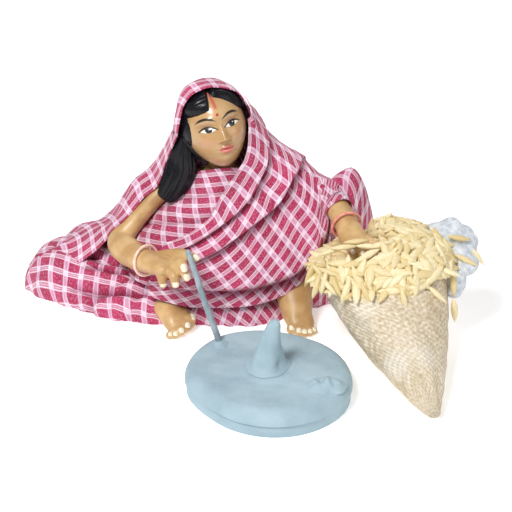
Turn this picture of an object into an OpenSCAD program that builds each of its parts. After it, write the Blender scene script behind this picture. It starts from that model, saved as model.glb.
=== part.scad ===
// Table figurine: a seated person in a checked sari works a small hand mill beside a pouch of paddy.
// Millimetres. The figure faces -Y, its left hand is on the +X side and the floor is z = 0.

/* [Cloth] */
// Thickness of the sari cloth with its glue
cloth_t = 0.9; // [0.6:0.05:1.5]
// Air between a cloth and what it lies on
cloth_gap = 0.15; // [0.1:0.05:0.3]
// Height of the main folds
fold_h = 1.5; // [0.4:0.1:2.2]
// Folds that fan out to the right knee, counted over a full turn
fan_folds = 26; // [16:1:32]
// Folds that sweep across the lap
lap_folds = 5; // [3:1:7]
// Folds that fall down the back
cape_folds = 9; // [7:1:11]
// Room for the folds between cloth and trunk
ease = 0.3; // [0.2:0.05:0.5]

/* [Head] */
// Width of the head over the temples
head_w = 21.6; // [20:0.2:22.4]
// Depth of the head
head_d = 23.4; // [22:0.2:24.2]
// Height from chin to crown
head_h = 28.4; // [27:0.2:29]
// Turn of the face to the figure's left
head_turn = 17; // [12:1:22]
// Lean of the crown to the figure's right
head_lean = 12; // [8:1:16]
// Lift of the chin
head_lift = 16; // [12:1:20]
// Thickness of the moulded hair
hair_t = 1.3; // [0.8:0.1:1.8]

/* [Core] */
// Radius of the stick that carries trunk and head
stick_r = 1.5; // [1:0.1:2]
// Radius of the wires that carry the arms
wire_r = 0.6; // [0.4:0.05:0.9]
// Clearance round stick and wires
pin_gap = 0.08; // [0.05:0.01:0.15]
// Seam between two clay pieces
seam = 0.12; // [0.1:0.01:0.2]

/* [Bangles] */
// Inner radius of the right bangle
right_bangle_r = 4.85; // [4.7:0.05:5.4]
// Inner radius of the left bangle
left_bangle_r = 4.6; // [4.4:0.05:5.2]
// Half thickness of a bangle
bangle_t = 0.5; // [0.3:0.05:0.7]

/* [Mill] */
// Turning axis of the mill, across
mill_x = 13.3; // [12:0.1:14]
// Turning axis of the mill, in depth
mill_y = -67.2; // [-70:0.1:-66.5]
// Radius of the upper stone
runner_r = 27.3; // [25:0.1:28]
// Thickness of the upper stone
runner_h = 5.2; // [4:0.1:6.5]
// Radius of the lower stone
bed_r = 26.8; // [24:0.1:27.2]
// Thickness of the lower stone
bed_h = 4; // [3:0.1:5]
// Gap between moving faces of the mill
run_gap = 0.15; // [0.1:0.01:0.3]
// Radius of the pin that the upper stone turns on
pin_r = 3; // [2:0.1:4]
// Clearance of the upper stone round its pin
pin_play = 0.05; // [0.02:0.01:0.1]
// Clearance of the pin in the lower stone
seat_play = 0.02; // [0.02:0.01:0.08]
// Clay left under the pin
seat_floor = 1; // [0.6:0.1:1.5]
// Radius of the cone's foot
cone_r = 8.2; // [7:0.1:9.5]
// Height of the cone above the upper stone
cone_h = 17.4; // [14:0.1:20]
// Radius of the turning rod
rod_r = 1.1; // [0.9:0.05:1.4]
// Length of the rod above the fingers
rod_over = 7.7; // [5:0.1:9]
// Depth of the rod in its socket
rod_in = 3.4; // [2:0.1:3.8]
// Radius of the dab of clay
dab_r = 5.6; // [4:0.1:6]
// Height of the dab of clay
dab_h = 2.6; // [1.5:0.1:3.5]

/* [Pouch] */
// Half width of the pouch mouth
mouth_w = 22.8; // [21.5:0.1:23.4]
// Height of the pouch lip
mouth_z = 29.5; // [27:0.25:30]
// Thickness of the jute wall
jute_t = 1.1; // [0.8:0.1:1.6]
// Height of the heap above the lip
heap_h = 9; // [7:0.25:9.5]
// Length of the wad that hangs over the lip
wad_l = 12; // [8:0.5:13]
// Length of a grain
grain_l = 9; // [7:0.25:9.5]
// Radius of a grain
grain_r = 1.3; // [1:0.05:1.4]
// Distance between rows of grains
grain_row = 3; // [2.8:0.1:3.6]

/* [Hidden] */
$fn = 48;

// clay colours
skin = "#a8763f";
ink = "#15171c";
sari = "#c33c64";
slate = "#a3bbc8";
jute = "#c4b08c";
straw = "#e6cf86";

// cloth layers, each outside the one before
layer = cloth_t + cloth_gap;
// plan of the skirt hem, once round from the right knee
hem = [[-78, 5], [-72, -5], [-58, -14], [-42, -22.5], [-24, -26], [-4, -27], [12, -26.5], [25, -17],
       [42, -8.5], [55, 4.5], [50, 18], [30, 27], [4, 31], [-24, 30], [-50, 24], [-70, 15]];
// middle of the waist
waist = [-1, 3];
// trunk sections: height, middle x, middle y, half width, half depth
trunk = [[13, -1, 3, 14, 11], [20, -1, 3, 13, 10.4], [27, -1.5, 2.4, 11.6, 9.2], [34, -2, 1.6, 12.4, 9.4],
         [40, -2.5, 0.8, 14.5, 9.2], [44.5, -3, -0.2, 15.4, 7.6], [48, -3, -1.6, 11.5, 6.6],
         [51, -3, -3, 6.6, 5.4], [54, -3.1, -4.4, 4.6, 4.6], [59, -3.4, -5.6, 4.4, 4.4]];
head_at = [-5.2, -7.5, 68.8];
stick_a = [-0.6, 4, 5];
stick_b = [-3.7, -6.3, 68];
// limb stations: x, y, z, half width, half thickness
r_arm = [[-18.5, 0, 45, 3, 3], [-27, -3, 39.5, 3, 3], [-35, -7, 31, 3, 3], [-40, -10.5, 25.6, 3.8, 3.8],
         [-36, -18.5, 25.4, 4.3, 4.2], [-30, -26, 26.4, 4.3, 3.9], [-25, -31, 27.4, 5.3, 3.2],
         [-20.4, -34.6, 28, 5.3, 2.4]];
r_fingers = [[[-18.6, -33.2, 29.6, 1.8, 1.8], [-16.4, -37, 31.2, 1.8, 1.8], [-15.4, -40, 30.6, 1.6, 1.6]],
             [[-18.8, -35.4, 28.6, 1.9, 1.9], [-15.6, -39, 29, 1.8, 1.8], [-14.6, -40.4, 27.4, 1.6, 1.6]],
             [[-20.8, -36.6, 27.6, 1.9, 1.9], [-18.8, -39.4, 27, 1.8, 1.8], [-18.4, -40.4, 24.8, 1.6, 1.6]],
             [[-23.6, -36, 26.6, 1.8, 1.8], [-23, -37.8, 25.2, 1.7, 1.7], [-22.8, -38, 23.4, 1.5, 1.5]],
             [[-24, -28.6, 29.2, 2, 2], [-17, -32.6, 32.4, 1.8, 1.8], [-11.4, -38.6, 33.8, 1.4, 1.4]]];
l_arm = [[12, 1, 46, 3.4, 3.4], [22, -2, 46, 3.4, 3.4], [33, -8, 43, 4.2, 4.2], [37.4, -17, 41.8, 4.1, 4.1],
         [40.3, -26, 39.6, 3.9, 3.8], [42, -31, 38, 4.8, 3], [43.6, -35, 37.2, 4.6, 2.2]];
l_fingers = [[[40.4, -33.6, 37.4, 1.6, 1.6], [41, -38, 36.8, 1.5, 1.5], [41.4, -40.4, 36.2, 1.3, 1.3]],
             [[42.8, -34.4, 37.4, 1.6, 1.6], [44, -39, 36.8, 1.5, 1.5], [44.8, -41.4, 36.2, 1.3, 1.3]],
             [[45.2, -34.2, 37.3, 1.6, 1.6], [46.8, -38.4, 36.8, 1.5, 1.5], [47.8, -40.6, 36.2, 1.3, 1.3]],
             [[46, -31.4, 37.8, 1.6, 1.6], [49, -34.6, 37.2, 1.4, 1.4], [50.6, -36.4, 36.6, 1.3, 1.3]]];
r_foot = [[-26, -19, 5.6, 4, 4], [-22, -24.6, 5.2, 5, 4.8], [-18.8, -29, 3.8, 5.6, 4], [-17.4, -31.4, 2.9, 5.4, 3]];
r_toes = [[-14.2, -28.6, 4.2, 2], [-15.6, -32.2, 3, 1.8], [-17.6, -34.4, 2.2, 1.7], [-19.6, -35.4, 1.5, 1.5],
          [-21.4, -35.4, 1.3, 1.4]];
l_foot = [[25.6, -12, 14.5, 4.2, 4.2], [22.8, -19, 10.8, 6.5, 5.4], [23.6, -25.6, 5.2, 5.5, 5.2], [25, -30, 2.8, 5, 3.2]];
l_toes = [[21.6, -32, 1.8, 1.9], [24, -33.6, 1.6, 1.7], [26, -34, 1.5, 1.6], [27.9, -33.6, 1.4, 1.5],
          [29.4, -32.2, 1.3, 1.4]];
lock = [[-12.6, -3.4, 74, 3.2, 3], [-15.2, -5.4, 67, 2.7, 3], [-16.4, -6.8, 60, 3.7, 3.4], [-16.8, -7.8, 53.6, 5.3, 3.2],
        [-18.6, -9.2, 47.8, 4.9, 2.6], [-20.8, -10.4, 43.8, 3, 1.5]];
// a point given in the head's own frame, moved out with the size of the head
function on_head(p) =
    let (x = p[0] * (head_w / 2 + hair_t) / 12.1, y = p[1] * (head_d / 2 + hair_t) / 13, z = p[2] * (head_h / 2 + hair_t) / 15.5,
         a = -head_lift, b = -head_lean, c = head_turn, v = y * cos(a) - z * sin(a), w = y * sin(a) + z * cos(a),
         u = x * cos(b) + w * sin(b))
    head_at + [u * cos(c) - v * sin(c), u * sin(c) + v * cos(c), w * cos(b) - x * sin(b)];
// sash: seven curves from the right arm up to the left shoulder, upper edge first
sash = [[[-23, -19.5, 29.5], [-14.5, -19.8, 33.5], [-7, -18.8, 39.5], [-2.5, -17.5, 46.5], on_head([2.6, -8, -16.4]),
         on_head([6.4, -7.6, -12]), on_head([9.1, -6.9, -5.4]), on_head([10.9, -5, 0.8]), on_head([13.8, -1, 3])],
        [[-25.5, -21.5, 25.5], [-15.5, -21.8, 28.6], [-4.5, -20.2, 35.3], [3, -18.2, 43], [8.5, -15.5, 50],
         [10.6, -12.8, 56.5], [11.4, -9.2, 62], [11, -3.5, 65.6], [10.6, 3.2, 64.6]],
        [[-27, -23.2, 22], [-15.5, -24, 23.6], [-2, -22.2, 30], [8, -19.2, 37.5], [15, -15.5, 44.5],
         [17.2, -12, 50], [17.6, -8, 56], [17, -2.6, 60.4], [16.2, 4.2, 59.4]],
        [[-28.5, -24.5, 18.8], [-14.5, -26, 19.2], [0.5, -24.6, 24], [12.5, -21.4, 31], [21, -17, 38.5],
         [24, -12.5, 45], [25.2, -8, 51], [25, -2.5, 54.6], [24.2, 4.2, 53.4]],
        [[-29, -25.2, 16], [-14, -27.6, 14.8], [3, -27.3, 17.6], [16, -24.3, 24], [25, -20.2, 31.5],
         [29.6, -16.2, 39.5], [31.6, -11.5, 45.6], [31.4, -4.5, 48.8], [31, 2, 47.6]],
        [[-29.3, -25.6, 13.6], [-14, -28.8, 11.4], [4, -29.4, 12.8], [17.5, -27.2, 17.8], [26.5, -23.6, 24.5],
         [31.4, -21, 31.5], [34, -19.3, 38.4], [35.8, -15.5, 45.4], [36.6, -9.5, 47]],
        [[-29.4, -25.8, 11.8], [-14, -29.6, 9], [4.5, -30.6, 9.2], [18, -29, 12.4], [26, -26.2, 17.2],
         [30.6, -24.2, 22.4], [33, -22.8, 27.8], [34.6, -21.8, 33], [35.8, -21, 37]]];
// chest cloth: six curves from the right side to the sash, upper edge first
chest = [[[-18, -0.5, 46.5], [-14, -4.6, 50], [-7.5, -10.5, 53], [0, -13.6, 54.6], [6.8, -15.5, 55.8]],
         [[-21.5, -0.5, 40.5], [-17.5, -7, 43.4], [-9.5, -13.4, 46.5], [0, -15, 48.5], [7.8, -15.6, 50.6]],
         [[-28, -1.5, 33], [-22.5, -10.8, 36.5], [-12.5, -16, 39], [-2, -16.8, 41.5], [7.1, -17, 45.2]],
         [[-34.5, -5, 26], [-27.5, -14, 29.5], [-16, -18.4, 31.5], [-4, -18.8, 34], [6, -18.9, 38.8]],
         [[-37, -10.5, 20.4], [-30, -18, 23.4], [-18.5, -21.4, 24.6], [-6, -21.4, 27], [3.5, -21.7, 31.1]],
         [[-36, -17.5, 15.4], [-30, -23.5, 15], [-20, -26, 14.6], [-9, -26, 16], [2.1, -26, 20.1]]];
// veil: curves from the front edge to the hem, from the right knee round the head to the left arm
cape = [[[-69, -2.5, 19], [-72.4, 2, 17.8], [-74.6, 8, 12], [-75.4, 12, 5.5], [-75.6, 14, 0.8]],
        [[-57.5, -7.5, 22.6], [-59.5, 0, 23.6], [-65, 9.5, 17], [-69, 16, 8.5], [-70, 18.5, 0.8]],
        [[-46.8, -9.4, 24.6], [-50.2, -0.5, 26.2], [-57.5, 10.5, 20.5], [-63, 18, 10], [-64.2, 22, 0.8]],
        [[-41.6, -9, 30.2], [-44.6, -0.5, 28.2], [-52.5, 11, 22], [-58.5, 19, 12], [-60.2, 23.8, 0.8]],
        [[-36.4, -7, 33.9], [-40.4, 0.5, 33], [-47, 12, 23.4], [-53.5, 20.5, 14], [-55.5, 25.2, 0.8]],
        [[-31.4, -5.6, 40], [-35, 2.5, 43.2], [-40.5, 13.5, 29.5], [-46, 22, 17], [-48.5, 27.3, 0.8]],
        [[-26, -4.6, 45], [-29.2, 4, 47.4], [-31.5, 13.5, 40.5], [-36.5, 22, 21.5], [-38.5, 29.3, 0.8]],
        [[-22.4, -2.4, 56], [-24.2, 4, 56.4], [-25.2, 12.5, 47], [-30, 21.5, 26], [-31.5, 30.4, 0.8]],
        [[-19.8, -2.8, 65], [-21.3, 3.5, 64], [-20.9, 12.3, 51.5], [-25, 21.3, 29.5], [-26.5, 31.2, 0.8]],
        [on_head([-12.7, -3.8, 4]), on_head([-12.9, 3, 3]), [-17, 12, 55], [-20.5, 21, 33], [-22, 31.8, 0.8]],
        [on_head([-7.8, -5.4, 12.6]), on_head([-8, 4, 13.5]), [-12.5, 13, 64], [-14, 20.5, 38], [-16, 33, 0.8]],
        [on_head([0, -7.2, 14.8]), on_head([0, 4.5, 16.7]), [-5.5, 12.5, 68], [-6.5, 20, 40], [-9, 34, 0.8]],
        [on_head([9.1, -4.6, 10.8]), on_head([8.5, 4.5, 12.7]), [2, 13, 63], [0.5, 20.5, 38], [-1.5, 33.6, 0.8]],
        [on_head([12.5, -4.4, 4.2]), on_head([13.6, 3.5, 2.5]), [6.4, 13, 57], [6.5, 21, 34], [4.5, 33.2, 0.8]],
        [[9.6, -5, 64], [9.8, 2, 63], [11, 11.5, 53], [13, 20.5, 32], [11.5, 32.6, 0.8]],
        [[15.6, -5, 58], [15.8, 2, 57.4], [16.6, 11, 49.6], [18.8, 20.2, 31], [17.8, 31.8, 0.8]],
        [[23.4, -4.5, 52.2], [23.6, 2, 51.6], [24.2, 9.8, 47], [26.5, 18.8, 29.5], [26.3, 30.2, 0.8]],
        [[30, -5.5, 46.8], [30.4, 0, 46], [31, 8.2, 43.6], [33.5, 17.2, 27.5], [33.5, 28, 0.8]],
        [[35.4, -8.5, 44.4], [35.8, -1.5, 43.6], [36.4, 6.6, 41.8], [39, 15.4, 25.5], [39.6, 24.8, 1]]];
// mill levels
bed_top = bed_h;
runner_z = bed_top + run_gap;
runner_top = runner_z + runner_h;
cone_z = runner_top + run_gap;
rod_foot = [mill_x - 16.4, mill_y + 13, runner_top];
// where the fingers hold the rod
grip = [-11.8, -43, 31.5];
rod_l = norm(grip - rod_foot) + rod_over;
rod_dir = (grip - rod_foot) / norm(grip - rod_foot);
dab_at = [mill_x + 17.6, mill_y - 11.6, runner_top];
// pouch middle lines
pouch_x = [65.8, 62.2, 58, 53.2, 49.4];
pouch_w = [0.09, 0.36, 0.64, 0.88, 1];
pouch_top = [[-86, 4], [-78, 11.5], [-70, 19], [-62, 25.6], [-54.4, mouth_z]];
pouch_low = [[-84, 0], [-68, -1.4], [-44, -0.6], [-22, 9], [-14, mouth_z]];
pouch_m = 10;
pouch_n = 24;
heap_at = [52.6, -33.8, mouth_z];
// the heap rises on the far side of the hand
hand_x = 50;
hand_z = 34.4;
hand_y = -43.6;
heap_rx = 24.4;
heap_ry = 20.6;
wad = [[67, -26, mouth_z + 3.6, 7, 5], [67 + wad_l * 0.7, -25.4, mouth_z + 3.6, 7.4, 5.2], [67 + wad_l, -25, mouth_z + 2.8, 5, 3.8]];

function mix(a, b, t) = a + (b - a) * t;
function unit(v) = v / norm(v);
function hold(t) = max(0, min(1, t));
function smooth(a, b, t) = let (u = hold((t - a) / (b - a))) u * u * (3 - 2 * u);
// smooth curve through the listed values
function along(p, t) =
    let (n = len(p) - 1, s = min(max(t, 0) * n, n - 0.0001), i = floor(s), u = s - i,
         a = p[max(0, i - 1)], b = p[i], c = p[i + 1], d = p[min(n, i + 2)])
    0.5 * (2 * b + (c - a) * u + (2 * a - 5 * b + 4 * c - d) * u * u + (3 * b - a - 3 * c + d) * u * u * u);
// smooth closed curve through the listed values
function around(p, t) =
    let (n = len(p), s = (t - floor(t)) * n, i = floor(s), u = s - i,
         a = p[(i + n - 1) % n], b = p[i % n], c = p[(i + 1) % n], d = p[(i + 2) % n])
    0.5 * (2 * b + (c - a) * u + (2 * a - 5 * b + 4 * c - d) * u * u + (3 * b - a - 3 * c + d) * u * u * u);

// closed solid through a list of rings
module loft(rings, up = false) {
    n = len(rings[0]);
    m = len(rings);
    last = (m - 1) * n;
    side = [for (i = [0:m - 2], k = [0:n - 1])
        let (a = i * n + k, b = i * n + (k + 1) % n)
        each [[a, b, a + n], [b, b + n, a + n]]];
    ends = [for (k = [1:n - 2]) each [[0, k + 1, k], [last, last + k, last + k + 1]]];
    all = concat(side, ends);
    polyhedron([for (r = rings) each r], up ? [for (f = all) [f[0], f[2], f[1]]] : all);
}

// closed thin solid between two grids of points
module sheet(p, q) {
    m = len(p);
    n = len(p[0]);
    o = m * n;
    skin_f = [for (i = [0:m - 2], k = [0:n - 2])
        let (a = i * n + k, b = a + 1, c = a + n, d = c + 1)
        each [[a, c, b], [b, c, d], [a + o, b + o, c + o], [b + o, d + o, c + o]]];
    rows = [for (k = [0:n - 2])
        let (a = k, b = k + 1, c = (m - 1) * n + k, d = c + 1)
        each [[a, b, b + o], [a, b + o, a + o], [d, c, c + o], [d, c + o, d + o]]];
    cols = [for (i = [0:m - 2])
        let (a = i * n, c = a + n, b = a + n - 1, d = b + n)
        each [[c, a, a + o], [c, a + o, c + o], [b, d, d + o], [b, d + o, b + o]]];
    polyhedron(concat([for (r = p) each r], [for (r = q) each r]), concat(skin_f, rows, cols));
}

// grid point moved along the grid's own normal
function lifted(g, i, k, h) =
    let (m = len(g) - 1, n = len(g[0]) - 1,
         du = g[i][min(n, k + 1)] - g[i][max(0, k - 1)],
         dv = g[min(m, i + 1)][k] - g[max(0, i - 1)][k])
    g[i][k] + h * unit(cross(du, dv));

// section of a limb at one station
function section(s, f, n, w, k, level) =
    let (e = unit(cross(f, level)), u = cross(e, f))
    [for (j = [0:n - 1])
        [s[0], s[1], s[2]] + w * f + (s[3] * cos(360 * j / n) * e + s[4] * sin(360 * j / n) * u) * k];

// round-ended limb through its stations, made larger by g
module limb(st, g = 0, n = 12, m = 14, level = [0.05, 0.1, 1]) {
    at = [for (j = [0:m]) along(st, j / m) + [0, 0, 0, g, g]];
    dir = [for (j = [0:m])
        let (d = at[min(m, j + 1)] - at[max(0, j - 1)]) unit([d[0], d[1], d[2]])];
    head_end = [for (a = [75, 50, 25]) section(at[0], dir[0], n, -at[0][4] * sin(a), cos(a), level)];
    tail_end = [for (a = [25, 50, 75]) section(at[m], dir[m], n, at[m][4] * sin(a), cos(a), level)];
    loft(concat(head_end, [for (j = [0:m]) section(at[j], dir[j], n, 0, 1, level)], tail_end));
}

// joins its children into one faceted body
module moulded() resize([0, 0, 0]) union() children();

module bar(a, b, r) {
    d = unit(b - a);
    translate(a) rotate([0, acos(d[2]), atan2(d[1], d[0])]) cylinder(r = r, h = norm(b - a));
}

// height of the lap over the floor
function ridge(x, y, a, b, w) =
    let (d = [b[0] - a[0], b[1] - a[1]], s = hold(((x - a[0]) * d[0] + (y - a[1]) * d[1]) / (d * d)),
         e = norm([x - a[0] - d[0] * s, y - a[1] - d[1] * s]) / w)
    mix(a[2], b[2], s) * exp(-pow(e, 3));
function lap_z(x, y) =
    let (h = [9, ridge(x, y, [-4, 4, 23], [-66, 6, 15], 17), ridge(x, y, [-66, 3, 13], [-22, -20, 12], 11),
              ridge(x, y, [2, 6, 22], [46, 4, 47], 15), ridge(x, y, [46, 4, 46], [25, -13, 18], 12)])
    pow(pow(h[0], 5) + pow(h[1], 5) + pow(h[2], 5) + pow(h[3], 5) + pow(h[4], 5), 0.2);
function fan(x, y) =
    let (a = atan2(y + 16, x + 12), r = norm([x + 12, y + 16]))
    pow(abs(sin(a * fan_folds / 2)), 0.7) * hold((r - 8) / 24) * hold((-4 - x) / 20);

// closed hill under the sari; g is the distance outside the bare legs, f the fold height
module legs(g, f = 0, low = 0) {
    n = 46;
    m = 9;
    rings = [for (j = [0:m])
        let (t = j == m ? 1 : sin(90 * (j + 0.3) / m))
        [for (k = [0:n - 1])
            let (o = around(hem, k / n), c = o + (g - layer - seam + 0.5 * f * fan(o[0], o[1])) * unit(o - waist),
                 p = mix(waist, c, t), z = lap_z(p[0], p[1]) + g + f * fan(p[0], p[1]))
            [p[0], p[1], t == 1 ? low : z * sqrt(1 - pow(t, 7))]]];
    loft(rings);
}

module trunk_form(g = 0, n = 18, m = 9) {
    loft([for (j = [0:m])
        let (s = along(trunk, j / m))
        [for (k = [0:n - 1])
            [s[1] + (s[3] + g) * cos(360 * k / n), s[2] + (s[4] + g) * sin(360 * k / n), s[0]]]], true);
}

// head in its own frame, face to -Y
module head_form(g = 0) {
    n = 22;
    m = 12;
    loft([for (j = [0:m])
        let (e = -86 + 172 * j / m, low = hold(-sin(e)), jaw = 1 - 0.26 * pow(low, 1.6))
        [for (k = [0:n - 1])
            let (a = 360 * k / n, side = a > 180 ? 360 - a : a,
                 nose = 2 * exp(-pow(side / 9, 2)) * hold((8 - e) / 22) * hold((e + 24) / 8),
                 chin = 0.7 * exp(-pow(side / 22, 2) - pow((e + 52) / 14, 2)),
                 eye = -0.6 * exp(-pow((side - 24) / 12, 2) - pow((e - 4) / 9, 2)),
                 r = nose + chin + eye)
            [(head_w / 2 + g) * jaw * cos(e) * sin(a),
             -(head_d / 2 + g + r) * cos(e) * cos(a) - 1.2 * low,
             (head_h / 2 + g) * sin(e)]]], true);
}

module head_place() translate(head_at) rotate([-head_lift, -head_lean, head_turn]) children();

// arched opening for the face, in the head's own frame
module face_cut(w, top, back) {
    translate([0, back, 0]) rotate([90, 0, 0]) linear_extrude(30)
        polygon([[0, top], [w * 0.5, top - 2.4], [w * 0.9, top - 7], [w, top - 12], [w * 1.02, -7],
                 [w * 1.4, -9], [w * 1.4, -22], [-w * 1.4, -22], [-w * 1.4, -9], [-w * 1.02, -7],
                 [-w, top - 12], [-w * 0.9, top - 7], [-w * 0.5, top - 2.4]]);
}

module right_arm_form(g = 0) {
    limb(r_arm, g, 10, 14);
    for (f = r_fingers) limb(f, g, 6, 3);
}

module left_arm_form(g = 0) {
    limb(l_arm, g, 10, 14);
    for (f = l_fingers) limb(f, g, 6, 3);
}

module foot_form(st, toes, g = 0) {
    limb(st, g, 8, 5);
    for (t = toes) translate([t[0], t[1], t[2]]) sphere(t[3] + g, $fn = 8);
}

module lock_form(g = 0) limb(lock, g, 10, 9, [0.15, 1, 0.25]);

module stick_form(g = 0) bar(stick_a, stick_b, stick_r + g);
r_wire_a = [-9, 0.4, 45.2];
r_wire_b = [-24.5, -2.1, 41.2];
l_wire_a = [5, 0.6, 45];
l_wire_b = [20, -1.4, 46];
module right_wire_form(g = 0) bar(r_wire_a, r_wire_b, wire_r + g);
module left_wire_form(g = 0) bar(l_wire_a, l_wire_b, wire_r + g);

// folded sheet through a net of curves; s is +1 or -1 for the outer side, g grows both faces
module quilt(net, nu, nv, f, folds, lean, s = 1, down = false, g = 0) {
    base = [for (j = [0:nv])
        [for (i = [0:nu]) along([for (c = net) along(c, i / nu)], j / nv)]];
    wave = [for (j = [0:nv])
        [for (i = [0:nu])
            let (u = j / nv, v = i / nu, calm = down ? smooth(0.25, 0.85, v) : smooth(0, 0.15, u) * smooth(0.75, 0.55, u),
                 turn = folds * u + lean * v + (down ? 0.12 * sin(516 * u) : 0))
            lifted(base, j, i, s * f * calm * (0.5 - 0.5 * cos(360 * turn)))]];
    front = [for (j = [0:nv]) [for (i = [0:nu]) lifted(wave, j, i, s * g)]];
    back = [for (j = [0:nv]) [for (i = [0:nu]) lifted(wave, j, i, -s * (cloth_t + g))]];
    if (s > 0) sheet(front, back); else sheet(back, front);
}

// cloth bodies as they lie, before anything under them is taken out
module drape_form(g = 0) {
    limb([for (i = [0:3]) l_arm[i]], layer + g, 8, 7);
    quilt(chest, 7, 8, fold_h * 0.5, 3, 0.2, -1, false, g);
    quilt(sash, 14, 15, fold_h * 1.2, lap_folds, 0.3, -1, false, g);
}

module lower_body() {
    color(skin) difference() {
        moulded() difference() {
            legs(0);
            trunk_form(seam);
            foot_form(r_foot, r_toes, seam);
            foot_form(l_foot, l_toes, seam);
        }
        stick_form(pin_gap);
    }
}

module torso() {
    color(skin) difference() {
        moulded() trunk_form();
        stick_form(pin_gap);
        right_wire_form(pin_gap);
        left_wire_form(pin_gap);
    }
}

module spine_stick() color("#b98f5a") stick_form();

module head() {
    color(skin) difference() {
        moulded() difference() {
            head_place() head_form();
            trunk_form(seam);
        }
        stick_form(pin_gap);
    }
}

module hair() {
    color(ink) moulded() difference() {
        union() {
            head_place() difference() {
                head_form(hair_t);
                face_cut(9.6, 12.6, -1.5);
                translate([-20, -20, -34]) cube([40, 40, 26]);
            }
            lock_form();
        }
        head_place() head_form(seam);
        trunk_form(seam);
        right_arm_form(seam);
        right_wire_form(pin_gap + seam);
    }
}

module right_arm() {
    color(skin) difference() {
        moulded() difference() {
            union() right_arm_form();
            trunk_form(seam);
        }
        right_wire_form(pin_gap);
    }
}

module left_arm() {
    color(skin) difference() {
        moulded() difference() {
            union() left_arm_form();
            trunk_form(seam);
        }
        left_wire_form(pin_gap);
    }
}

module right_arm_wire() color("#8d8f92") right_wire_form();

module left_arm_wire() color("#8d8f92") left_wire_form();

module right_foot() {
    color(skin) moulded() difference() {
        foot_form(r_foot, r_toes);
        translate([-60, -60, -20]) cube([120, 120, 20]);
    }
}

module left_foot() {
    color(skin) moulded() difference() {
        foot_form(l_foot, l_toes);
        translate([-60, -60, -20]) cube([120, 120, 20]);
    }
}

module ring_on(p, d, r, g = 0) {
    u = unit(d);
    translate(p) rotate([0, acos(u[2]), atan2(u[1], u[0])])
        rotate_extrude() translate([r + bangle_t, 0]) circle(bangle_t + g, $fn = 24);
}

module right_ring_form(g = 0) ring_on([-29.3, -26.7, 26.5], [0.72, -0.68, 0.13], right_bangle_r, g);

module right_bangle() color("#f0cfc4") right_ring_form();

module left_bangle() color("#e9a48f") ring_on([40.1, -25.4, 39.8], [0.29, -0.92, -0.24], left_bangle_r);

// opening at the waist, round the foot of the trunk
module waist_cut() {
    translate([waist[0], waist[1], trunk[0][0]]) scale([trunk[0][3] / trunk[0][4], 1, 1])
        cylinder(r = trunk[0][4] + ease + 2 * seam, h = 40, $fn = 28);
}

module skirt() {
    color(sari) moulded() difference() {
        legs(layer, fold_h * 1.2);
        legs(cloth_gap, 0, -2);
        waist_cut();
        foot_form(r_foot, r_toes, cloth_gap);
        foot_form(l_foot, l_toes, cloth_gap);
    }
}

module drape() {
    color(sari) moulded() difference() {
        drape_form();
        trunk_form(cloth_gap + ease);
        left_arm_form(cloth_gap);
        right_arm_form(cloth_gap);
        legs(layer + cloth_gap, fold_h * 1.2, -2);
        lock_form(cloth_gap);
        head_place() head_form(hair_t + cloth_gap);
        right_wire_form(pin_gap + seam);
        left_wire_form(pin_gap + seam);
        right_ring_form(cloth_gap, $fn = 24);
    }
}

module veil() {
    color(sari) moulded() difference() {
        quilt(cape, 8, 40, fold_h, cape_folds, 0.35, 1, true);
        head_place() head_form(hair_t + cloth_gap);
        lock_form(cloth_gap);
        drape_form(cloth_gap);
        trunk_form(cloth_gap + ease);
        legs(layer + cloth_gap, fold_h * 1.2, -2);
        right_arm_form(cloth_gap);
        left_arm_form(cloth_gap);
        translate([-100, -100, -20]) cube([200, 200, 20]);
    }
}

// rounded edge of a stone, from the lower to the upper face
function rim(r, z0, z1, bow) =
    [for (a = [-75:15:75]) [r - bow + bow * cos(a), mix(z0, z1, 0.5 + 0.5 * sin(a) / sin(75))]];

module bed_stone() {
    color(slate) translate([mill_x, mill_y, 0]) difference() {
        rotate_extrude($fn = 96) polygon(concat([[0, 0]], rim(bed_r, 0, bed_top, 1.6), [[0, bed_top]]));
        translate([0, 0, seat_floor]) cylinder(r = pin_r + seat_play, h = bed_h);
    }
}

module runner_stone() {
    color(slate) difference() {
        union() {
            translate([mill_x, mill_y, 0]) rotate_extrude($fn = 96)
                polygon(concat([[0, runner_z]], rim(runner_r, runner_z, runner_top, 2.4), [[0, runner_top]]));
            translate(rod_foot - [0, 0, 0.5]) cylinder(r1 = 3.6, r2 = 2.4, h = 1.7);
        }
        translate([mill_x, mill_y, runner_z - 1]) cylinder(r = pin_r + pin_play, h = runner_h + 2);
        bar(rod_foot - rod_in * rod_dir, rod_foot + 6 * rod_dir, rod_r + pin_gap);
    }
}

module pivot_cone() {
    color(slate) translate([mill_x, mill_y, 0]) union() {
        translate([0, 0, seat_floor + seat_play]) cylinder(r = pin_r, h = cone_z - seat_floor);
        translate([0, 0, cone_z]) rotate_extrude($fn = 64)
            polygon([[0, 0], [cone_r - 0.4, 0], [cone_r, 0.5], [cone_r * 0.88, 1.5], [cone_r * 0.7, 3],
                     [cone_r * 0.56, 5.4], [cone_r * 0.44, cone_h * 0.52], [cone_r * 0.33, cone_h * 0.75],
                     [cone_r * 0.27, cone_h * 0.9], [cone_r * 0.17, cone_h * 0.975], [0, cone_h]]);
    }
}

module handle_rod() {
    color("#93a9b5") bar(rod_foot - (rod_in - 0.1) * rod_dir, rod_foot + rod_l * rod_dir, rod_r);
}

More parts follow.
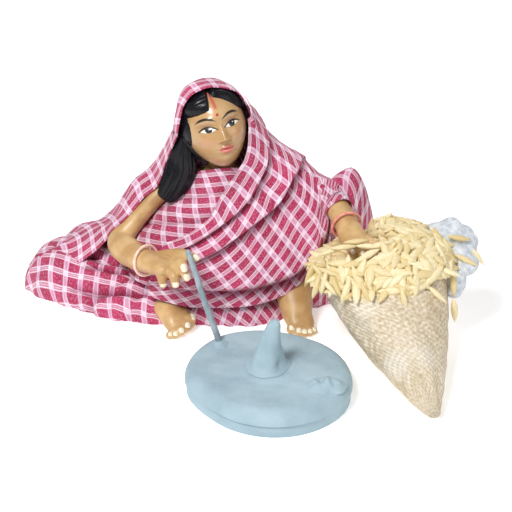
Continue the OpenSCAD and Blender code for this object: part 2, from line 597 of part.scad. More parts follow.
module clay_dab() {
    color(slate) translate(dab_at + [0, 0, 0.02]) difference() {
        rotate_extrude() polygon([[0, 0], [dab_r - 0.3, 0], [dab_r, 0.4], [dab_r * 0.86, dab_h * 0.5],
                                  [dab_r * 0.6, dab_h * 0.86], [dab_r * 0.3, dab_h], [0, dab_h]]);
        translate([-1.2, 0.8, dab_h + 1.2]) sphere(2.4);
        translate([2.4, -1.4, dab_h + 0.9]) sphere(1.9);
    }
}

// ring of the pouch, w is the inset from the outer face
function pouch_ring(t, w, n = pouch_n) =
    let (p = along(pouch_top, t), q = along(pouch_low, t), c = (p + q) / 2, v = p - c,
         h = norm(v), x = along(pouch_x, t), e = mouth_w * along(pouch_w, t) - w)
    [for (k = [0:n - 1])
        let (a = 360 * k / n, y = c + v * cos(a) * (h - w) / h)
        [x + e * sin(a) + 3 * t * t * (1 - cos(a)), y[0], max(w, y[1])]];

module sack() {
    color(jute) moulded() loft(concat([for (j = [0:pouch_m]) pouch_ring(j / pouch_m, 0)],
                                      [for (j = [pouch_m:-1:3]) pouch_ring(j / pouch_m, jute_t)]), true);
}

// heap with a bay where the hand reaches in
function heap_z(x, y) =
    let (u = (x - heap_at[0]) / heap_rx, v = (y - heap_at[1]) / heap_ry, e = hold(1 - u * u - v * v),
         s = max(smooth(hand_x, hand_x + 12, x), smooth(hand_y, hand_y - 5, y)))
    heap_at[2] + 0.4 + 1.2 * e + heap_h * pow(e, 0.7) * s;

// tuft of the wad that hangs over the lip at the back
module wad_form(g = 0) {
    difference() {
        limb(wad, g, 10, 5);
        translate([0, -100, 0]) cube([200, 200, mouth_z + 0.1]);
    }
}

module sack_filling() {
    color("#cfd3d6") moulded() {
        cup = [for (j = [4:pouch_m]) pouch_ring(j / pouch_m, jute_t + 4 * seam)];
        top = [for (s = [1, 0.94, 0.87, 0.79, 0.7, 0.6, 0.5, 0.35, 0.2, 0.05])
            [for (k = [0:pouch_n - 1])
                let (p = cup[len(cup) - 1][k], x = mix(heap_at[0], p[0], s), y = mix(heap_at[1], p[1], s))
                [x, y, max(mouth_z + 0.05, heap_z(x, y))]]];
        loft(concat(cup, top), true);
        wad_form();
    }
}

module grain() {
    rotate([0, 90, 0]) rotate_extrude($fn = 6)
        polygon([[0, -grain_l / 2], [grain_r * 0.62, -grain_l * 0.32], [grain_r, -grain_l * 0.02],
                 [grain_r * 0.6, grain_l * 0.34], [0, grain_l / 2]]);
}

// rows of grains on the heap, low enough to pass under the hand where it reaches in
module grains() {
    color(straw) moulded() for (j = [-6:6], i = [-2:2]) {
        x = heap_at[0] + (i + (j % 2) * 0.5) * (grain_l + 0.5);
        y = heap_at[1] + j * grain_row;
        u = (x - heap_at[0]) / heap_rx;
        v = (y - heap_at[1]) / heap_ry;
        sx = (heap_z(x + 3, y) - heap_z(x - 3, y)) / 6;
        rest = grain_r + seam;
        z = max([for (d = [-1:0.25:1]) heap_z(x, y + d * rest) + rest * sqrt(1 - d * d) * sqrt(1 + sx * sx)]);
        under_hand = x < 60 && y < -20 && y > -46 && z + grain_r + abs(sx) * grain_l / 2 > hand_z;
        by_wad = x > 55 && y > -35;
        if (u * u + v * v < 0.86 && !under_hand && !by_wad)
            translate([x, y, z]) rotate([0, -atan(sx), 0]) grain();
    }
}

lower_body();
torso();
spine_stick();
head();
hair();
right_arm();
left_arm();
right_arm_wire();
left_arm_wire();
right_foot();
left_foot();
right_bangle();
left_bangle();
skirt();
drape();
veil();
bed_stone();
runner_stone();
pivot_cone();
handle_rod();
clay_dab();
sack();
sack_filling();
grains();
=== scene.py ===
import bpy, math
import numpy as np
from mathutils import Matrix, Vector
from mathutils.bvhtree import BVHTree


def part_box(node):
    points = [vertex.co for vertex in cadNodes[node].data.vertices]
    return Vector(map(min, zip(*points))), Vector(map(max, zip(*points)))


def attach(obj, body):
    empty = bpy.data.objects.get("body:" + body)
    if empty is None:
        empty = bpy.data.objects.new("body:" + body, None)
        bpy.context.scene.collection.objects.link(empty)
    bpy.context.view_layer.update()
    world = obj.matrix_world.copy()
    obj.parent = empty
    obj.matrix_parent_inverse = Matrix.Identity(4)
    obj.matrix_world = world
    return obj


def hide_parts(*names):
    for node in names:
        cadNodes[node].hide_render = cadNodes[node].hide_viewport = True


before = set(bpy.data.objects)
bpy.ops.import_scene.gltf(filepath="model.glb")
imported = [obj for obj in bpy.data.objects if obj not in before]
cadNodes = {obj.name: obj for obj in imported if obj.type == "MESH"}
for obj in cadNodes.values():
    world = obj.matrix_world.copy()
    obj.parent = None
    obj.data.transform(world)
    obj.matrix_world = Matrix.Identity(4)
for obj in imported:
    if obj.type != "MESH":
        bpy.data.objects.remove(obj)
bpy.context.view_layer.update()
mm = 0.001  # shapes below are written in millimetres
print("frame loaded,", len(cadNodes), "nodes")


# helpers for curves, grids and meshes

def unit(v):
    v = np.asarray(v, float)
    return v / np.maximum(np.linalg.norm(v, axis=-1, keepdims=True), 1e-12)


def ease(a, b, x):
    t = np.clip((np.asarray(x, float) - a) / (b - a), 0, 1)
    return t * t * (3 - 2 * t)


def bump(x, middle, width):
    return np.exp(-((x - middle) / width) ** 2)


def around(n):  # n angles, once round
    return np.linspace(0, 2 * math.pi, n, endpoint=False)


def onFloor(x, y):
    return np.stack([x, y, 0 * x], -1)


def curveAt(points, t, closed=False):  # smooth curve through the listed points
    p = np.asarray(points, float)
    n = len(p) if closed else len(p) - 1
    s = np.asarray(t, float) * n
    if closed:
        i = np.floor(s).astype(int)
        a, b, c, d = (p[(i + k) % n] for k in (-1, 0, 1, 2))
    else:
        s = np.clip(s, 0, n)
        i = np.minimum(s.astype(int), n - 1)
        a, b, c, d = (p[np.clip(i + k, 0, n)] for k in (-1, 0, 1, 2))
    u = (s - i)[..., None]
    cubic = (3 * b - a - 3 * c + d) * u ** 3
    return 0.5 * (2 * b + (c - a) * u + (2 * a - 5 * b + 4 * c - d) * u * u + cubic)


def valueAt(values, t, closed=False):  # the same for a list of plain numbers
    return curveAt(np.array(values)[:, None], t, closed)[..., 0]


def netAt(net, nu, nv):  # grid of nv + 1 rows and nu + 1 columns through a net of curves
    cross = np.array([curveAt(c, np.linspace(0, 1, nu + 1)) for c in net])
    return np.stack([curveAt(cross[:, i], np.linspace(0, 1, nv + 1)) for i in range(nu + 1)], axis=1)


def netShares(nu, nv):  # share down and share across for each point of such a grid
    return np.meshgrid(np.linspace(0, 1, nv + 1), np.linspace(0, 1, nu + 1), indexing="ij")


def gridCross(g):
    return np.cross(np.gradient(g, axis=1), np.gradient(g, axis=0))


def gridNormals(g, ahead):  # unit normals, on the side that ahead points to
    n = unit(gridCross(g))
    return n if (n * ahead).sum() >= 0 else -n


def gridFaces(rows, cols, wrap=False, flip=False):
    r, c = np.meshgrid(np.arange(rows - 1), np.arange(cols if wrap else cols - 1), indexing="ij")
    a, b = r * cols + c, r * cols + (c + 1) % cols
    f = np.stack([a, b, b + cols, a + cols], -1).reshape(-1, 4)
    return f[:, ::-1] if flip else f


def outerFaces(g, centre):  # faces of an open grid, turned away from the centre
    return gridFaces(*g.shape[:2], flip=((g - centre) * gridCross(g)).sum() < 0)


def gridLengths(g):  # arc length along the rows and down the columns
    along, down = (np.cumsum(np.linalg.norm(np.diff(g, axis=k), axis=2), k) for k in (1, 0))
    return np.pad(along, ((0, 0), (1, 0))), np.pad(down, ((1, 0), (0, 0)))


def lumps(p, size, seed, count=14):  # soft even noise, about -1 to 1
    rng = np.random.default_rng(seed)
    k = unit(rng.normal(size=(count, 3))) * rng.uniform(0.6, 1.5, (count, 1))
    waves = np.sin(np.asarray(p) @ k.T * (2 * math.pi / size) + rng.uniform(0, 6.28, count))
    return waves.sum(-1) / math.sqrt(count / 2) * 0.6


def smoothGrid(g, times):
    for _ in range(times):
        q = g.copy()
        beside = g[:-2, 1:-1] + g[2:, 1:-1] + g[1:-1, :-2] + g[1:-1, 2:]
        q[1:-1, 1:-1] = 0.5 * g[1:-1, 1:-1] + 0.125 * beside
        for e in (0, -1):
            q[e, 1:-1] = 0.5 * g[e, 1:-1] + 0.25 * (g[e, :-2] + g[e, 2:])
            q[1:-1, e] = 0.5 * g[1:-1, e] + 0.25 * (g[:-2, e] + g[2:, e])
        g = q
    return g


def addObject(name, mesh, body, nodes):  # a helper piece has no body
    mesh.polygons.foreach_set("use_smooth", np.ones(len(mesh.polygons), bool))
    obj = bpy.data.objects.new(name, mesh)
    bpy.context.scene.collection.objects.link(obj)
    if body:
        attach(obj, body)
    if nodes:
        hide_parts(*nodes)
    return obj


def makePiece(name, verts, faces, mat, uv=None, paint=None, body="figure", nodes=(), slot=None):
    mesh = bpy.data.meshes.new(name)
    v = np.asarray(verts, float).reshape(-1, 3) * mm
    mesh.from_pydata(v.tolist(), [], [list(map(int, f)) for f in faces])
    if uv is not None:
        loops = np.zeros(len(mesh.loops), int)
        mesh.loops.foreach_get("vertex_index", loops)
        corners = np.asarray(uv, float).reshape(-1, 2)[loops] * mm
        mesh.uv_layers.new(name="cloth").data.foreach_set("uv", corners.ravel())
    if paint is not None:
        c = np.ones((len(v), 4))
        c[:, :3] = np.asarray(paint).reshape(-1, 3)
        mesh.color_attributes.new("paint", "FLOAT_COLOR", "POINT").data.foreach_set("color", c.ravel())
    mesh.update()
    mesh.materials.append(mat)
    return addObject(name, mesh, body, nodes)


def gather(parts):  # several vertex and face lists as one
    vs, fs, base = [], [], 0
    for v, f in parts:
        vs.append(np.asarray(v, float).reshape(-1, 3))
        fs += [[int(i) + base for i in q] for q in f]
        base += len(vs[-1])
    return np.vstack(vs), fs


def capped(rings):  # closed shell through a list of rings
    g = np.asarray(rings, float)
    m, n = g.shape[:2]
    v = np.vstack([g.reshape(-1, 3), g[0].mean(0), g[-1].mean(0)])
    f = [list(q) for q in gridFaces(m, n, wrap=True)]
    f += [[(k + 1) % n, k, m * n] for k in range(n)]
    f += [[(m - 1) * n + k, (m - 1) * n + (k + 1) % n, m * n + 1] for k in range(n)]
    return v, f


# round-ended limb through stations of x, y, z and a radius, or a half width and half thickness
def limbShell(stations, n, m, grow=0.0, shape=None, flat=(0.05, 0.1, 1)):
    s = np.array(stations, float)
    if s.shape[1] == 4:
        s = np.hstack([s, s[:, 3:]])
    at = curveAt(s, np.linspace(0, 1, m + 1)) + np.array([0, 0, 0, grow, grow])
    d = unit(np.gradient(at[:, :3], axis=0))
    ends = np.radians([78, 56, 34, 14])
    rows = [(at[0], d[0], -math.sin(a), math.cos(a)) for a in ends]
    rows += [(at[j], d[j], 0, 1) for j in range(m + 1)]
    rows += [(at[m], d[m], math.sin(a), math.cos(a)) for a in ends[::-1]]
    a = around(n)
    ca, sa = np.cos(a)[:, None], np.sin(a)[:, None]
    rings = []
    for j, (s, f, ahead, k) in enumerate(rows):
        e = unit(np.cross(f, flat))
        u = np.cross(e, f)
        h = 1 if shape is None else shape(a, j / (len(rows) - 1))[:, None]
        rings.append(s[:3] + ahead * s[4] * f + k * h * (s[3] * ca * e + s[4] * sa * u))
    return capped(rings)


def ballShell(centre, radii, n, m):
    a = around(n)
    rings = []
    for t in np.radians(np.linspace(-80, 80, m)):
        ring = np.stack([math.cos(t) * np.cos(a), math.cos(t) * np.sin(a), np.full(n, math.sin(t))], 1)
        rings.append(ring * radii + centre)
    return capped(rings)


clay = dict(voxel=0.3, rub=0.5, rounds=5)


def fused(name, parts, mat, nodes):  # parts pressed together and rubbed smooth like clay
    raw = makePiece(name + "_raw", *gather(parts), mat, body=None)
    press = raw.modifiers.new("press", "REMESH")
    press.mode = "VOXEL"
    press.voxel_size = clay["voxel"] * mm
    rub = raw.modifiers.new("rub", "SMOOTH")
    rub.factor = clay["rub"]
    rub.iterations = clay["rounds"]
    mesh = bpy.data.meshes.new_from_object(raw.evaluated_get(bpy.context.evaluated_depsgraph_get()))
    bpy.data.objects.remove(raw)
    mesh.name = name
    return addObject(name, mesh, "figure", nodes)


def treeOf(obj):  # search tree of a mesh, in millimetres
    v = np.zeros(len(obj.data.vertices) * 3)
    obj.data.vertices.foreach_get("co", v)
    faces = [list(p.vertices) for p in obj.data.polygons]
    return BVHTree.FromPolygons((v.reshape(-1, 3) / mm).tolist(), faces)


def gridTree(g, faces):
    return BVHTree.FromPolygons(g.reshape(-1, 3).tolist(), faces.tolist())


def laidOver(g, trees, gap, reach=9.0, where=None):  # moves the points of a cloth outside what it lies on
    p = g.reshape(-1, 3).copy()
    todo = np.arange(len(p)) if where is None else np.flatnonzero(where.ravel())
    for tree, room in trees:
        for k in todo:
            at, nrm = tree.find_nearest(Vector(p[k]), reach)[:2]
            if at is not None:
                d = (p[k][0] - at[0]) * nrm[0] + (p[k][1] - at[1]) * nrm[1] + (p[k][2] - at[2]) * nrm[2]
                if d < gap + room:
                    p[k] += np.array(nrm) * (gap + room - d)
    return p.reshape(g.shape)


def thicken(obj, thick):
    m = obj.modifiers.new("weave", "SOLIDIFY")
    m.thickness = thick * mm
    m.offset = -1


# materials

def srgb(r, g, b):
    return tuple(((c / 255 + 0.055) / 1.055) ** 2.4 if c > 10 else c / 255 / 12.92 for c in (r, g, b)) + (1,)


class Paint:  # a node material with short ways to add nodes
    def __init__(self, name, rough=0.5, coat=0.0, coatRough=0.1, sheen=0.0, specular=0.5):
        self.mat = bpy.data.materials.new(name)
        self.mat.use_nodes = True
        self.tree = self.mat.node_tree
        self.skin = self.tree.nodes["Principled BSDF"]
        for socket, value in (("Roughness", rough), ("Coat Weight", coat), ("Coat Roughness", coatRough),
                              ("Sheen Weight", sheen), ("Specular IOR Level", specular)):
            self.skin.inputs[socket].default_value = value
        self.place = self.add("ShaderNodeTexCoord").outputs["Object"]

    def add(self, kind, **props):
        n = self.tree.nodes.new(kind)
        for k, v in props.items():
            setattr(n, k, v)
        return n

    def put(self, value, socket):
        if isinstance(value, bpy.types.NodeSocket):
            self.tree.links.new(value, socket)
        else:
            socket.default_value = value

    def fill(self, node, *values):
        for value, socket in zip(values, node.inputs):
            self.put(value, socket)
        return node.outputs[0]

    def math(self, op, a, b=0.0, c=0.0):
        return self.fill(self.add("ShaderNodeMath", operation=op), a, b, c)

    def apart(self, a, b):
        return self.math("ABSOLUTE", self.math("SUBTRACT", a, b))

    def step(self, x, a, b, lo=0.0, hi=1.0):  # lo below a, hi above b
        return self.fill(self.add("ShaderNodeMapRange", interpolation_type="SMOOTHSTEP"), x, a, b, lo, hi)

    def mapped(self, place, scale, turn=0.0):
        m = self.add("ShaderNodeMapping")
        self.put(place, m.inputs["Vector"])
        m.inputs["Scale"].default_value = scale
        m.inputs["Rotation"].default_value = (0, 0, math.radians(turn))
        return m.outputs[0]

    def clothUv(self):
        return self.add("ShaderNodeUVMap", uv_map="cloth").outputs[0]

    def clothPlace(self, uv, turn=0.0):  # millimetres across and down the cloth
        xyz = self.add("ShaderNodeSeparateXYZ")
        self.put(self.mapped(uv, (1 / mm, 1 / mm, 1), turn), xyz.inputs[0])
        return xyz.outputs[0], xyz.outputs[1]

    def painted(self):
        return self.add("ShaderNodeVertexColor", layer_name="paint").outputs["Color"]

    def grain(self, size, detail=3.0, place=None, stretch=(1, 1, 1)):  # noise with spots of this size
        n = self.add("ShaderNodeTexNoise")
        self.put(self.mapped(place or self.place, [s / (size * mm) for s in stretch]), n.inputs["Vector"])
        n.inputs["Scale"].default_value = 1.0
        n.inputs["Detail"].default_value = detail
        return n.outputs["Fac"]

    def blend(self, fac, a, b, kind="MIX"):
        n = self.add("ShaderNodeMix", data_type="RGBA", blend_type=kind)
        for value, i in ((fac, 0), (a, 6), (b, 7)):  # the sockets for colours
            self.put(value, n.inputs[i])
        return n.outputs[2]

    def colour(self, socket):
        self.put(socket, self.skin.inputs["Base Color"])

    def rough(self, size, lo, hi):  # roughness that wanders between two values
        self.put(self.step(self.grain(size), 0.3, 0.7, lo, hi), self.skin.inputs["Roughness"])

    def relief(self, height, depth, strength=1.0):
        b = self.add("ShaderNodeBump")
        b.inputs["Strength"].default_value = strength
        b.inputs["Distance"].default_value = depth * mm
        self.put(height, b.inputs["Height"])
        self.put(b.outputs[0], self.skin.inputs["Normal"])


varnish = dict(ochre=(188, 146, 94), pale=(216, 180, 126), rubbed=(228, 198, 150), shade=(120, 78, 38))


def skinVarnish():  # arms and feet: ochre paint under glossy varnish
    p = Paint("skin_varnish", coat=0.16, coatRough=0.28)
    patch = p.step(p.grain(7, 4), 0.35, 0.7)
    tone = p.blend(patch, srgb(*varnish["ochre"]), srgb(*varnish["pale"]))
    rub = p.step(p.grain(1.1, 5, stretch=(1, 1, 0.4)), 0.66, 0.78)
    p.colour(p.blend(p.math("MULTIPLY", rub, 0.5), tone, srgb(*varnish["rubbed"])))
    p.rough(3, 0.36, 0.52)
    p.relief(p.grain(1.6, 5), 0.12, 0.5)
    return p.mat


def facePaint():  # head: the painted colours under the same varnish
    p = Paint("face_paint", coat=0.55, coatRough=0.12)
    patch = p.step(p.grain(6, 3), 0.35, 0.7, 0.0, 0.22)
    p.colour(p.blend(patch, p.painted(), srgb(*varnish["shade"]), "SOFT_LIGHT"))
    p.rough(3, 0.24, 0.38)
    p.relief(p.grain(1.8, 4), 0.07, 0.4)
    return p.mat


def nailEnamel():
    p = Paint("nail_enamel", coat=0.5)
    p.colour(p.blend(p.grain(0.8), srgb(238, 224, 190), srgb(250, 244, 226)))
    p.rough(0.6, 0.22, 0.36)
    return p.mat


def hairLacquer():
    p = Paint("hair_lacquer", coat=0.16, coatRough=0.16, specular=0.18)
    p.colour(p.blend(p.grain(2.2, 3), srgb(8, 8, 12), srgb(20, 21, 28)))
    p.rough(1.5, 0.26, 0.44)
    p.relief(p.grain(0.5, 3, stretch=(1, 1, 0.25)), 0.06, 0.5)
    return p.mat


# the crease colour is painted shade, multiplied into the cloth at the bottom of a crease
checkCotton = dict(bandPitch=6.6, bandHalf=1.1, linePitch=3.8, lineHalf=0.74, thread=0.26,
                   red=(194, 46, 98), deepRed=(164, 24, 70), lilac=(230, 186, 216),
                   white=(252, 240, 250), creaseShade=(0.46, 0.2, 0.29))


def paintedCreaseShade(depth):  # colour of painted shade that darkens the cloth in its creases, where depth is 1
    d = np.clip(np.asarray(depth, float), 0, 1)[..., None]
    return 1 - d * (1 - np.array(checkCotton["creaseShade"]))


def sariCotton(name, turn=0.0):
    k = checkCotton
    p = Paint(name, rough=0.8, sheen=0.25, specular=0.25)
    uv = p.clothUv()
    wander = p.math("MULTIPLY", p.math("SUBTRACT", p.grain(9, 2, uv), 0.5), 0.5)
    u, v = (p.math("ADD", x, wander) for x in p.clothPlace(uv, turn))

    def far(x, pitch):  # distance from the nearest line of a set
        return p.math("MULTIPLY", p.apart(p.math("FRACT", p.math("DIVIDE", x, pitch)), 0.5), pitch)

    across, down = far(u, k["bandPitch"]), far(v, k["linePitch"])
    band = p.step(across, k["bandHalf"] - 0.16, k["bandHalf"] + 0.16, 0.74, 0.0)
    rail = p.step(p.apart(across, k["bandHalf"] * 0.68), 0.08, 0.24, 0.6, 0.0)
    strip = p.step(down, k["lineHalf"] - 0.12, k["lineHalf"] + 0.12, 0.4, 0.0)
    lines = p.step(p.apart(down, k["lineHalf"] * 0.72), 0.05, 0.2, 0.85, 0.0)
    middle = p.step(down, 0.03, 0.17, 0.5, 0.0)
    threads = [p.math("SINE", p.math("MULTIPLY", x, 2 * math.pi / k["thread"])) for x in (u, v)]
    weave = p.math("MULTIPLY", *threads)
    fade = p.step(p.grain(12, 4, uv), 0.3, 0.75)
    red = p.blend(fade, srgb(*k["deepRed"]), srgb(*k["red"]))
    red = p.blend(p.step(p.grain(0.6, 2, uv), 0.46, 0.72, 0.0, 0.34), red, srgb(*k["lilac"]))  # pale slubs
    worn = p.step(p.grain(5, 4, uv), 0.3, 0.7, 0.72, 1.0)
    tone = p.blend(p.math("MULTIPLY", p.math("MAXIMUM", band, strip), worn), red, srgb(*k["lilac"]))
    spot = p.math("MULTIPLY", p.math("MULTIPLY", band, strip), 2.6)  # brighter where the two sets cross
    light = p.math("MAXIMUM", p.math("MAXIMUM", lines, middle), p.math("MAXIMUM", rail, spot))
    light = p.math("MULTIPLY_ADD", weave, 0.05, p.math("MULTIPLY", light, worn))
    light = p.math("MINIMUM", p.math("MAXIMUM", light, 0.0), 1.0)
    # the paint attribute multiplies in painted shade along the creases and fold hollows
    p.colour(p.blend(1.0, p.blend(light, tone, srgb(*k["white"])), p.painted(), "MULTIPLY"))
    p.relief(p.math("MULTIPLY_ADD", p.grain(2.4, 3, uv), 2.0, weave), 0.05, 0.6)
    return p.mat


stoneClay = dict(blue=(150, 174, 185), pale=(170, 193, 203), dust=(186, 204, 212))


def millClay():
    k = stoneClay
    p = Paint("mill_clay", rough=0.7, specular=0.3)
    tone = p.blend(p.step(p.grain(14, 4), 0.3, 0.72), srgb(*k["blue"]), srgb(*k["pale"]))
    dust = p.step(p.grain(1.2, 5), 0.55, 0.75)
    p.colour(p.blend(p.math("MULTIPLY", dust, 0.35), tone, srgb(*k["dust"])))
    p.rough(5, 0.6, 0.82)
    p.relief(p.math("MULTIPLY_ADD", p.grain(4.5, 3), 3.0, p.grain(0.7, 4)), 0.09, 0.6)
    return p.mat


sacking = dict(yarns=(1.9, 1.45), dark=(202, 184, 154), light=(240, 230, 210), rubbed=(240, 234, 224),
               stain=(184, 164, 126), gap=(180, 158, 122))


def juteSacking():
    k = sacking
    p = Paint("jute_sacking", rough=0.95, specular=0.15)
    uv = p.clothUv()
    wob = p.math("MULTIPLY", p.grain(5, 3, uv), 1.2)
    yarns = [p.math("SINE", p.math("MULTIPLY", p.math("ADD", x, wob), math.pi / pitch))
             for x, pitch in zip(p.clothPlace(uv), k["yarns"])]
    knot = p.math("MULTIPLY_ADD", p.math("MULTIPLY", *yarns), 0.5, 0.5)
    fleck = p.grain(1.2, 4, uv, stretch=(1, 0.6, 1))
    rubbed = p.step(p.grain(11, 3), 0.45, 0.68, 0.0, 0.55)
    stained = p.step(p.grain(8, 3, stretch=(1, 1.3, 0.8)), 0.52, 0.74, 0.0, 0.5)
    tone = p.blend(p.step(fleck, 0.32, 0.7), srgb(*k["dark"]), srgb(*k["light"]))
    tone = p.blend(rubbed, tone, srgb(*k["rubbed"]))
    tone = p.blend(stained, tone, srgb(*k["stain"]))
    # darker where the yarns dip in: painted shade in the hollows of the weave
    p.colour(p.blend(p.step(knot, 0.1, 0.7, 0.38, 0.0), tone, srgb(*k["gap"])))
    p.relief(p.math("MULTIPLY_ADD", fleck, 0.8, knot), 0.3, 0.9)
    return p.mat


def huskStraw():
    p = Paint("husk_straw", rough=0.55, specular=0.35)
    own = p.add("ShaderNodeAttribute", attribute_name="tone").outputs["Fac"]  # differs from grain to grain
    tone = p.blend(own, srgb(222, 200, 144), srgb(246, 234, 196))
    vein = p.step(p.grain(0.7, 3), 0.45, 0.72, 0.0, 0.4)
    p.colour(p.blend(vein, tone, srgb(214, 184, 122)))
    p.relief(p.grain(0.45, 3), 0.08, 0.6)
    return p.mat


def wadFluff():
    p = Paint("wad_fluff", rough=1.0, sheen=0.4, specular=0.1)
    p.colour(p.blend(p.step(p.grain(2.2, 5), 0.3, 0.7), srgb(188, 197, 208), srgb(230, 235, 240)))
    p.relief(p.grain(0.9, 6), 0.5, 1.0)
    return p.mat


def plainGrain(name, dark, light, size, rough, stretch=(1, 1, 1), depth=0.05, metal=0.0, coat=0.0):
    p = Paint(name, rough=rough, coat=coat)
    p.skin.inputs["Metallic"].default_value = metal
    p.colour(p.blend(p.step(p.grain(size, 4, stretch=stretch), 0.3, 0.7), srgb(*dark), srgb(*light)))
    p.relief(p.grain(size * 0.3, 4, stretch=stretch), depth, 0.5)
    return p.mat


skinMat, faceMat, nailMat, hairMat = skinVarnish(), facePaint(), nailEnamel(), hairLacquer()
clayMat, juteMat, huskMat, wadMat = millClay(), juteSacking(), huskStraw(), wadFluff()
coreMat = plainGrain("core_clay", (126, 88, 52), (150, 108, 66), 3, 0.85)
stickMat = plainGrain("bamboo_stick", (160, 120, 70), (196, 156, 100), 2, 0.6, (1, 1, 0.15))
wireMat = plainGrain("iron_wire", (120, 122, 124), (150, 152, 154), 1, 0.4, metal=1.0)
ringMat = plainGrain("bangle_cream", (238, 196, 178), (252, 226, 208), 1.2, 0.3, coat=0.3)
ringPinkMat = plainGrain("bangle_pink", (222, 128, 112), (244, 168, 148), 1.2, 0.3, coat=0.3)
rodMat = plainGrain("rod_paint", (122, 138, 146), (158, 172, 178), 2.4, 0.6, (1, 1, 0.35), 0.08)
skirtCotton, sashCotton = sariCotton("sari_skirt", 28), sariCotton("sari_sash")
veilCotton = sariCotton("sari_veil")
print("materials ready")


# camera, floor and light

view = dict(at=(9, -427.33, 241.26), aim=(9, -30, 30), lens=91.76, sensor=36)
studio = dict(floor=4000.0, under=-0.05, glow=0.4, sky=0.3, aim=(5, -25, 25),
              lamps=[("key", (-240, -380, 600), 200, 4.1), ("fill", (480, -300, 380), 420, 0.75),
                     ("back", (60, 520, 520), 420, 0.9)])


def placeAimed(name, data, at, aim):
    o = bpy.data.objects.new(name, data)
    o.location = Vector(at) * mm
    o.rotation_euler = (Vector(aim) - Vector(at)).to_track_quat("-Z", "Y").to_euler()
    bpy.context.scene.collection.objects.link(o)
    return o


cam = bpy.data.cameras.new("camera")
cam.lens, cam.sensor_width = view["lens"], view["sensor"]
cam.clip_start = 0.01
bpy.context.scene.camera = placeAimed("camera", cam, view["at"], view["aim"])

floorMat = plainGrain("pale_floor", (246, 246, 246), (250, 250, 250), 60, 0.9)
floorSkin = floorMat.node_tree.nodes["Principled BSDF"].inputs
floorSkin["Emission Color"].default_value = (1, 1, 1, 1)
floorSkin["Emission Strength"].default_value = studio["glow"]
far, under = studio["floor"], studio["under"]
corners = [(-far, -far, under), (far, -far, under), (far, far, under), (-far, far, under)]
floor = makePiece("floor", corners, [(0, 1, 2, 3)], floorMat, body=None)

for name, at, size, power in studio["lamps"]:
    lamp = bpy.data.lights.new(name, "AREA")
    lamp.size, lamp.energy = size * mm, power
    placeAimed(name, lamp, at, studio["aim"])
world = bpy.data.worlds.new("studio")
world.use_nodes = True
sky = world.node_tree.nodes["Background"].inputs
sky["Color"].default_value = (1, 1, 1, 1)
sky["Strength"].default_value = studio["sky"]
bpy.context.scene.world = world
bpy.context.scene.view_settings.view_transform = "Standard"
print("camera and light ready")


# head, its paint and the hair

head = dict(width=21.6, depth=23.4, height=28.4, at=(-5.2, -7.5, 68.8), tilt=(-16, -12, 17),
            cols=320, rows=250, jaw=0.27, skin=(190, 152, 104))
faceRelief = [  # height, then middle and width to the side, middle and width up
    (0.7, 0, 5, 7, 5), (-0.4, 9, 2.5, 5, 4),  # forehead and temples
    (-1.2, 4.25, 2.9, 1.4, 2.0), (1.05, 4.25, 2.2, 0.95, 1.2),  # sockets and eyeballs
    (0.45, 4.4, 2.9, 4.4, 0.9),  # brows
    (0.8, 1.6, 0.7, -3.4, 0.75),  # nostrils
    (0.7, 5.4, 2.8, -2.6, 2.8),  # cheeks
    (0.8, 0, 3.4, -6.6, 2.4), (0.6, 0, 2.1, -5.9, 0.5), (0.75, 0, 1.8, -7.4, 0.62),  # mouth and lips
    (-0.5, 0, 2.4, -6.65, 0.26), (-0.25, 0, 0.5, -4.9, 0.6),  # between the lips, under the nose
    (1.5, 0, 3.0, -11, 2.2), (-0.4, 0, 2.2, -8.9, 0.6)]  # chin
nose = dict(high=2.7, top=3.2, long=6.4, tip=(-4.5, -3.2), half=0.95, flare=0.6)


def turned(deg):
    x, y, z = np.radians(deg)
    rx = np.array([[1, 0, 0], [0, math.cos(x), -math.sin(x)], [0, math.sin(x), math.cos(x)]])
    ry = np.array([[math.cos(y), 0, math.sin(y)], [0, 1, 0], [-math.sin(y), 0, math.cos(y)]])
    rz = np.array([[math.cos(z), -math.sin(z), 0], [math.sin(z), math.cos(z), 0], [0, 0, 1]])
    return rz @ ry @ rx


headTurn = turned(head["tilt"])


def headPlace(p):
    return np.asarray(p, float) @ headTurn.T + np.array(head["at"])


def onHead(*p):
    return tuple(headPlace(p))


def headSkin(a, e, features=1.0):  # a is the angle round from the face, e the height angle
    low = np.clip(-np.sin(e), 0, 1)
    x = head["width"] / 2 * (1 - head["jaw"] * low ** 1.6) * np.cos(e) * np.sin(a)
    z = head["height"] / 2 * np.sin(e)
    ax = np.abs(x)
    r = sum(high * bump(ax, u, wide) * bump(z, v, tall) for high, u, wide, v, tall in faceRelief)
    slope = np.clip((nose["top"] - z) / nose["long"], 0, 1)
    bridge = slope ** 1.15 * ease(*nose["tip"], z) * bump(x, 0, nose["half"] + nose["flare"] * slope)
    r = (r + nose["high"] * bridge) * ease(0.05, 0.45, np.cos(a)) * features
    y = -(head["depth"] / 2 + r) * np.cos(e) * np.cos(a) - 1.2 * low
    return np.stack([x, y, z], -1)


eye = dict(out=4.25, half=2.75, up=0.95, slant=0.2, upper=1.05, lower=-0.78, iris=1.12, irisOut=4.2)
brow = dict(out=4.4, half=3.3, up=3.65, arch=1.25, thick=0.42)
mouth = dict(half=2.55, top=-5.65, parting=-6.65, bottom=-6.6)


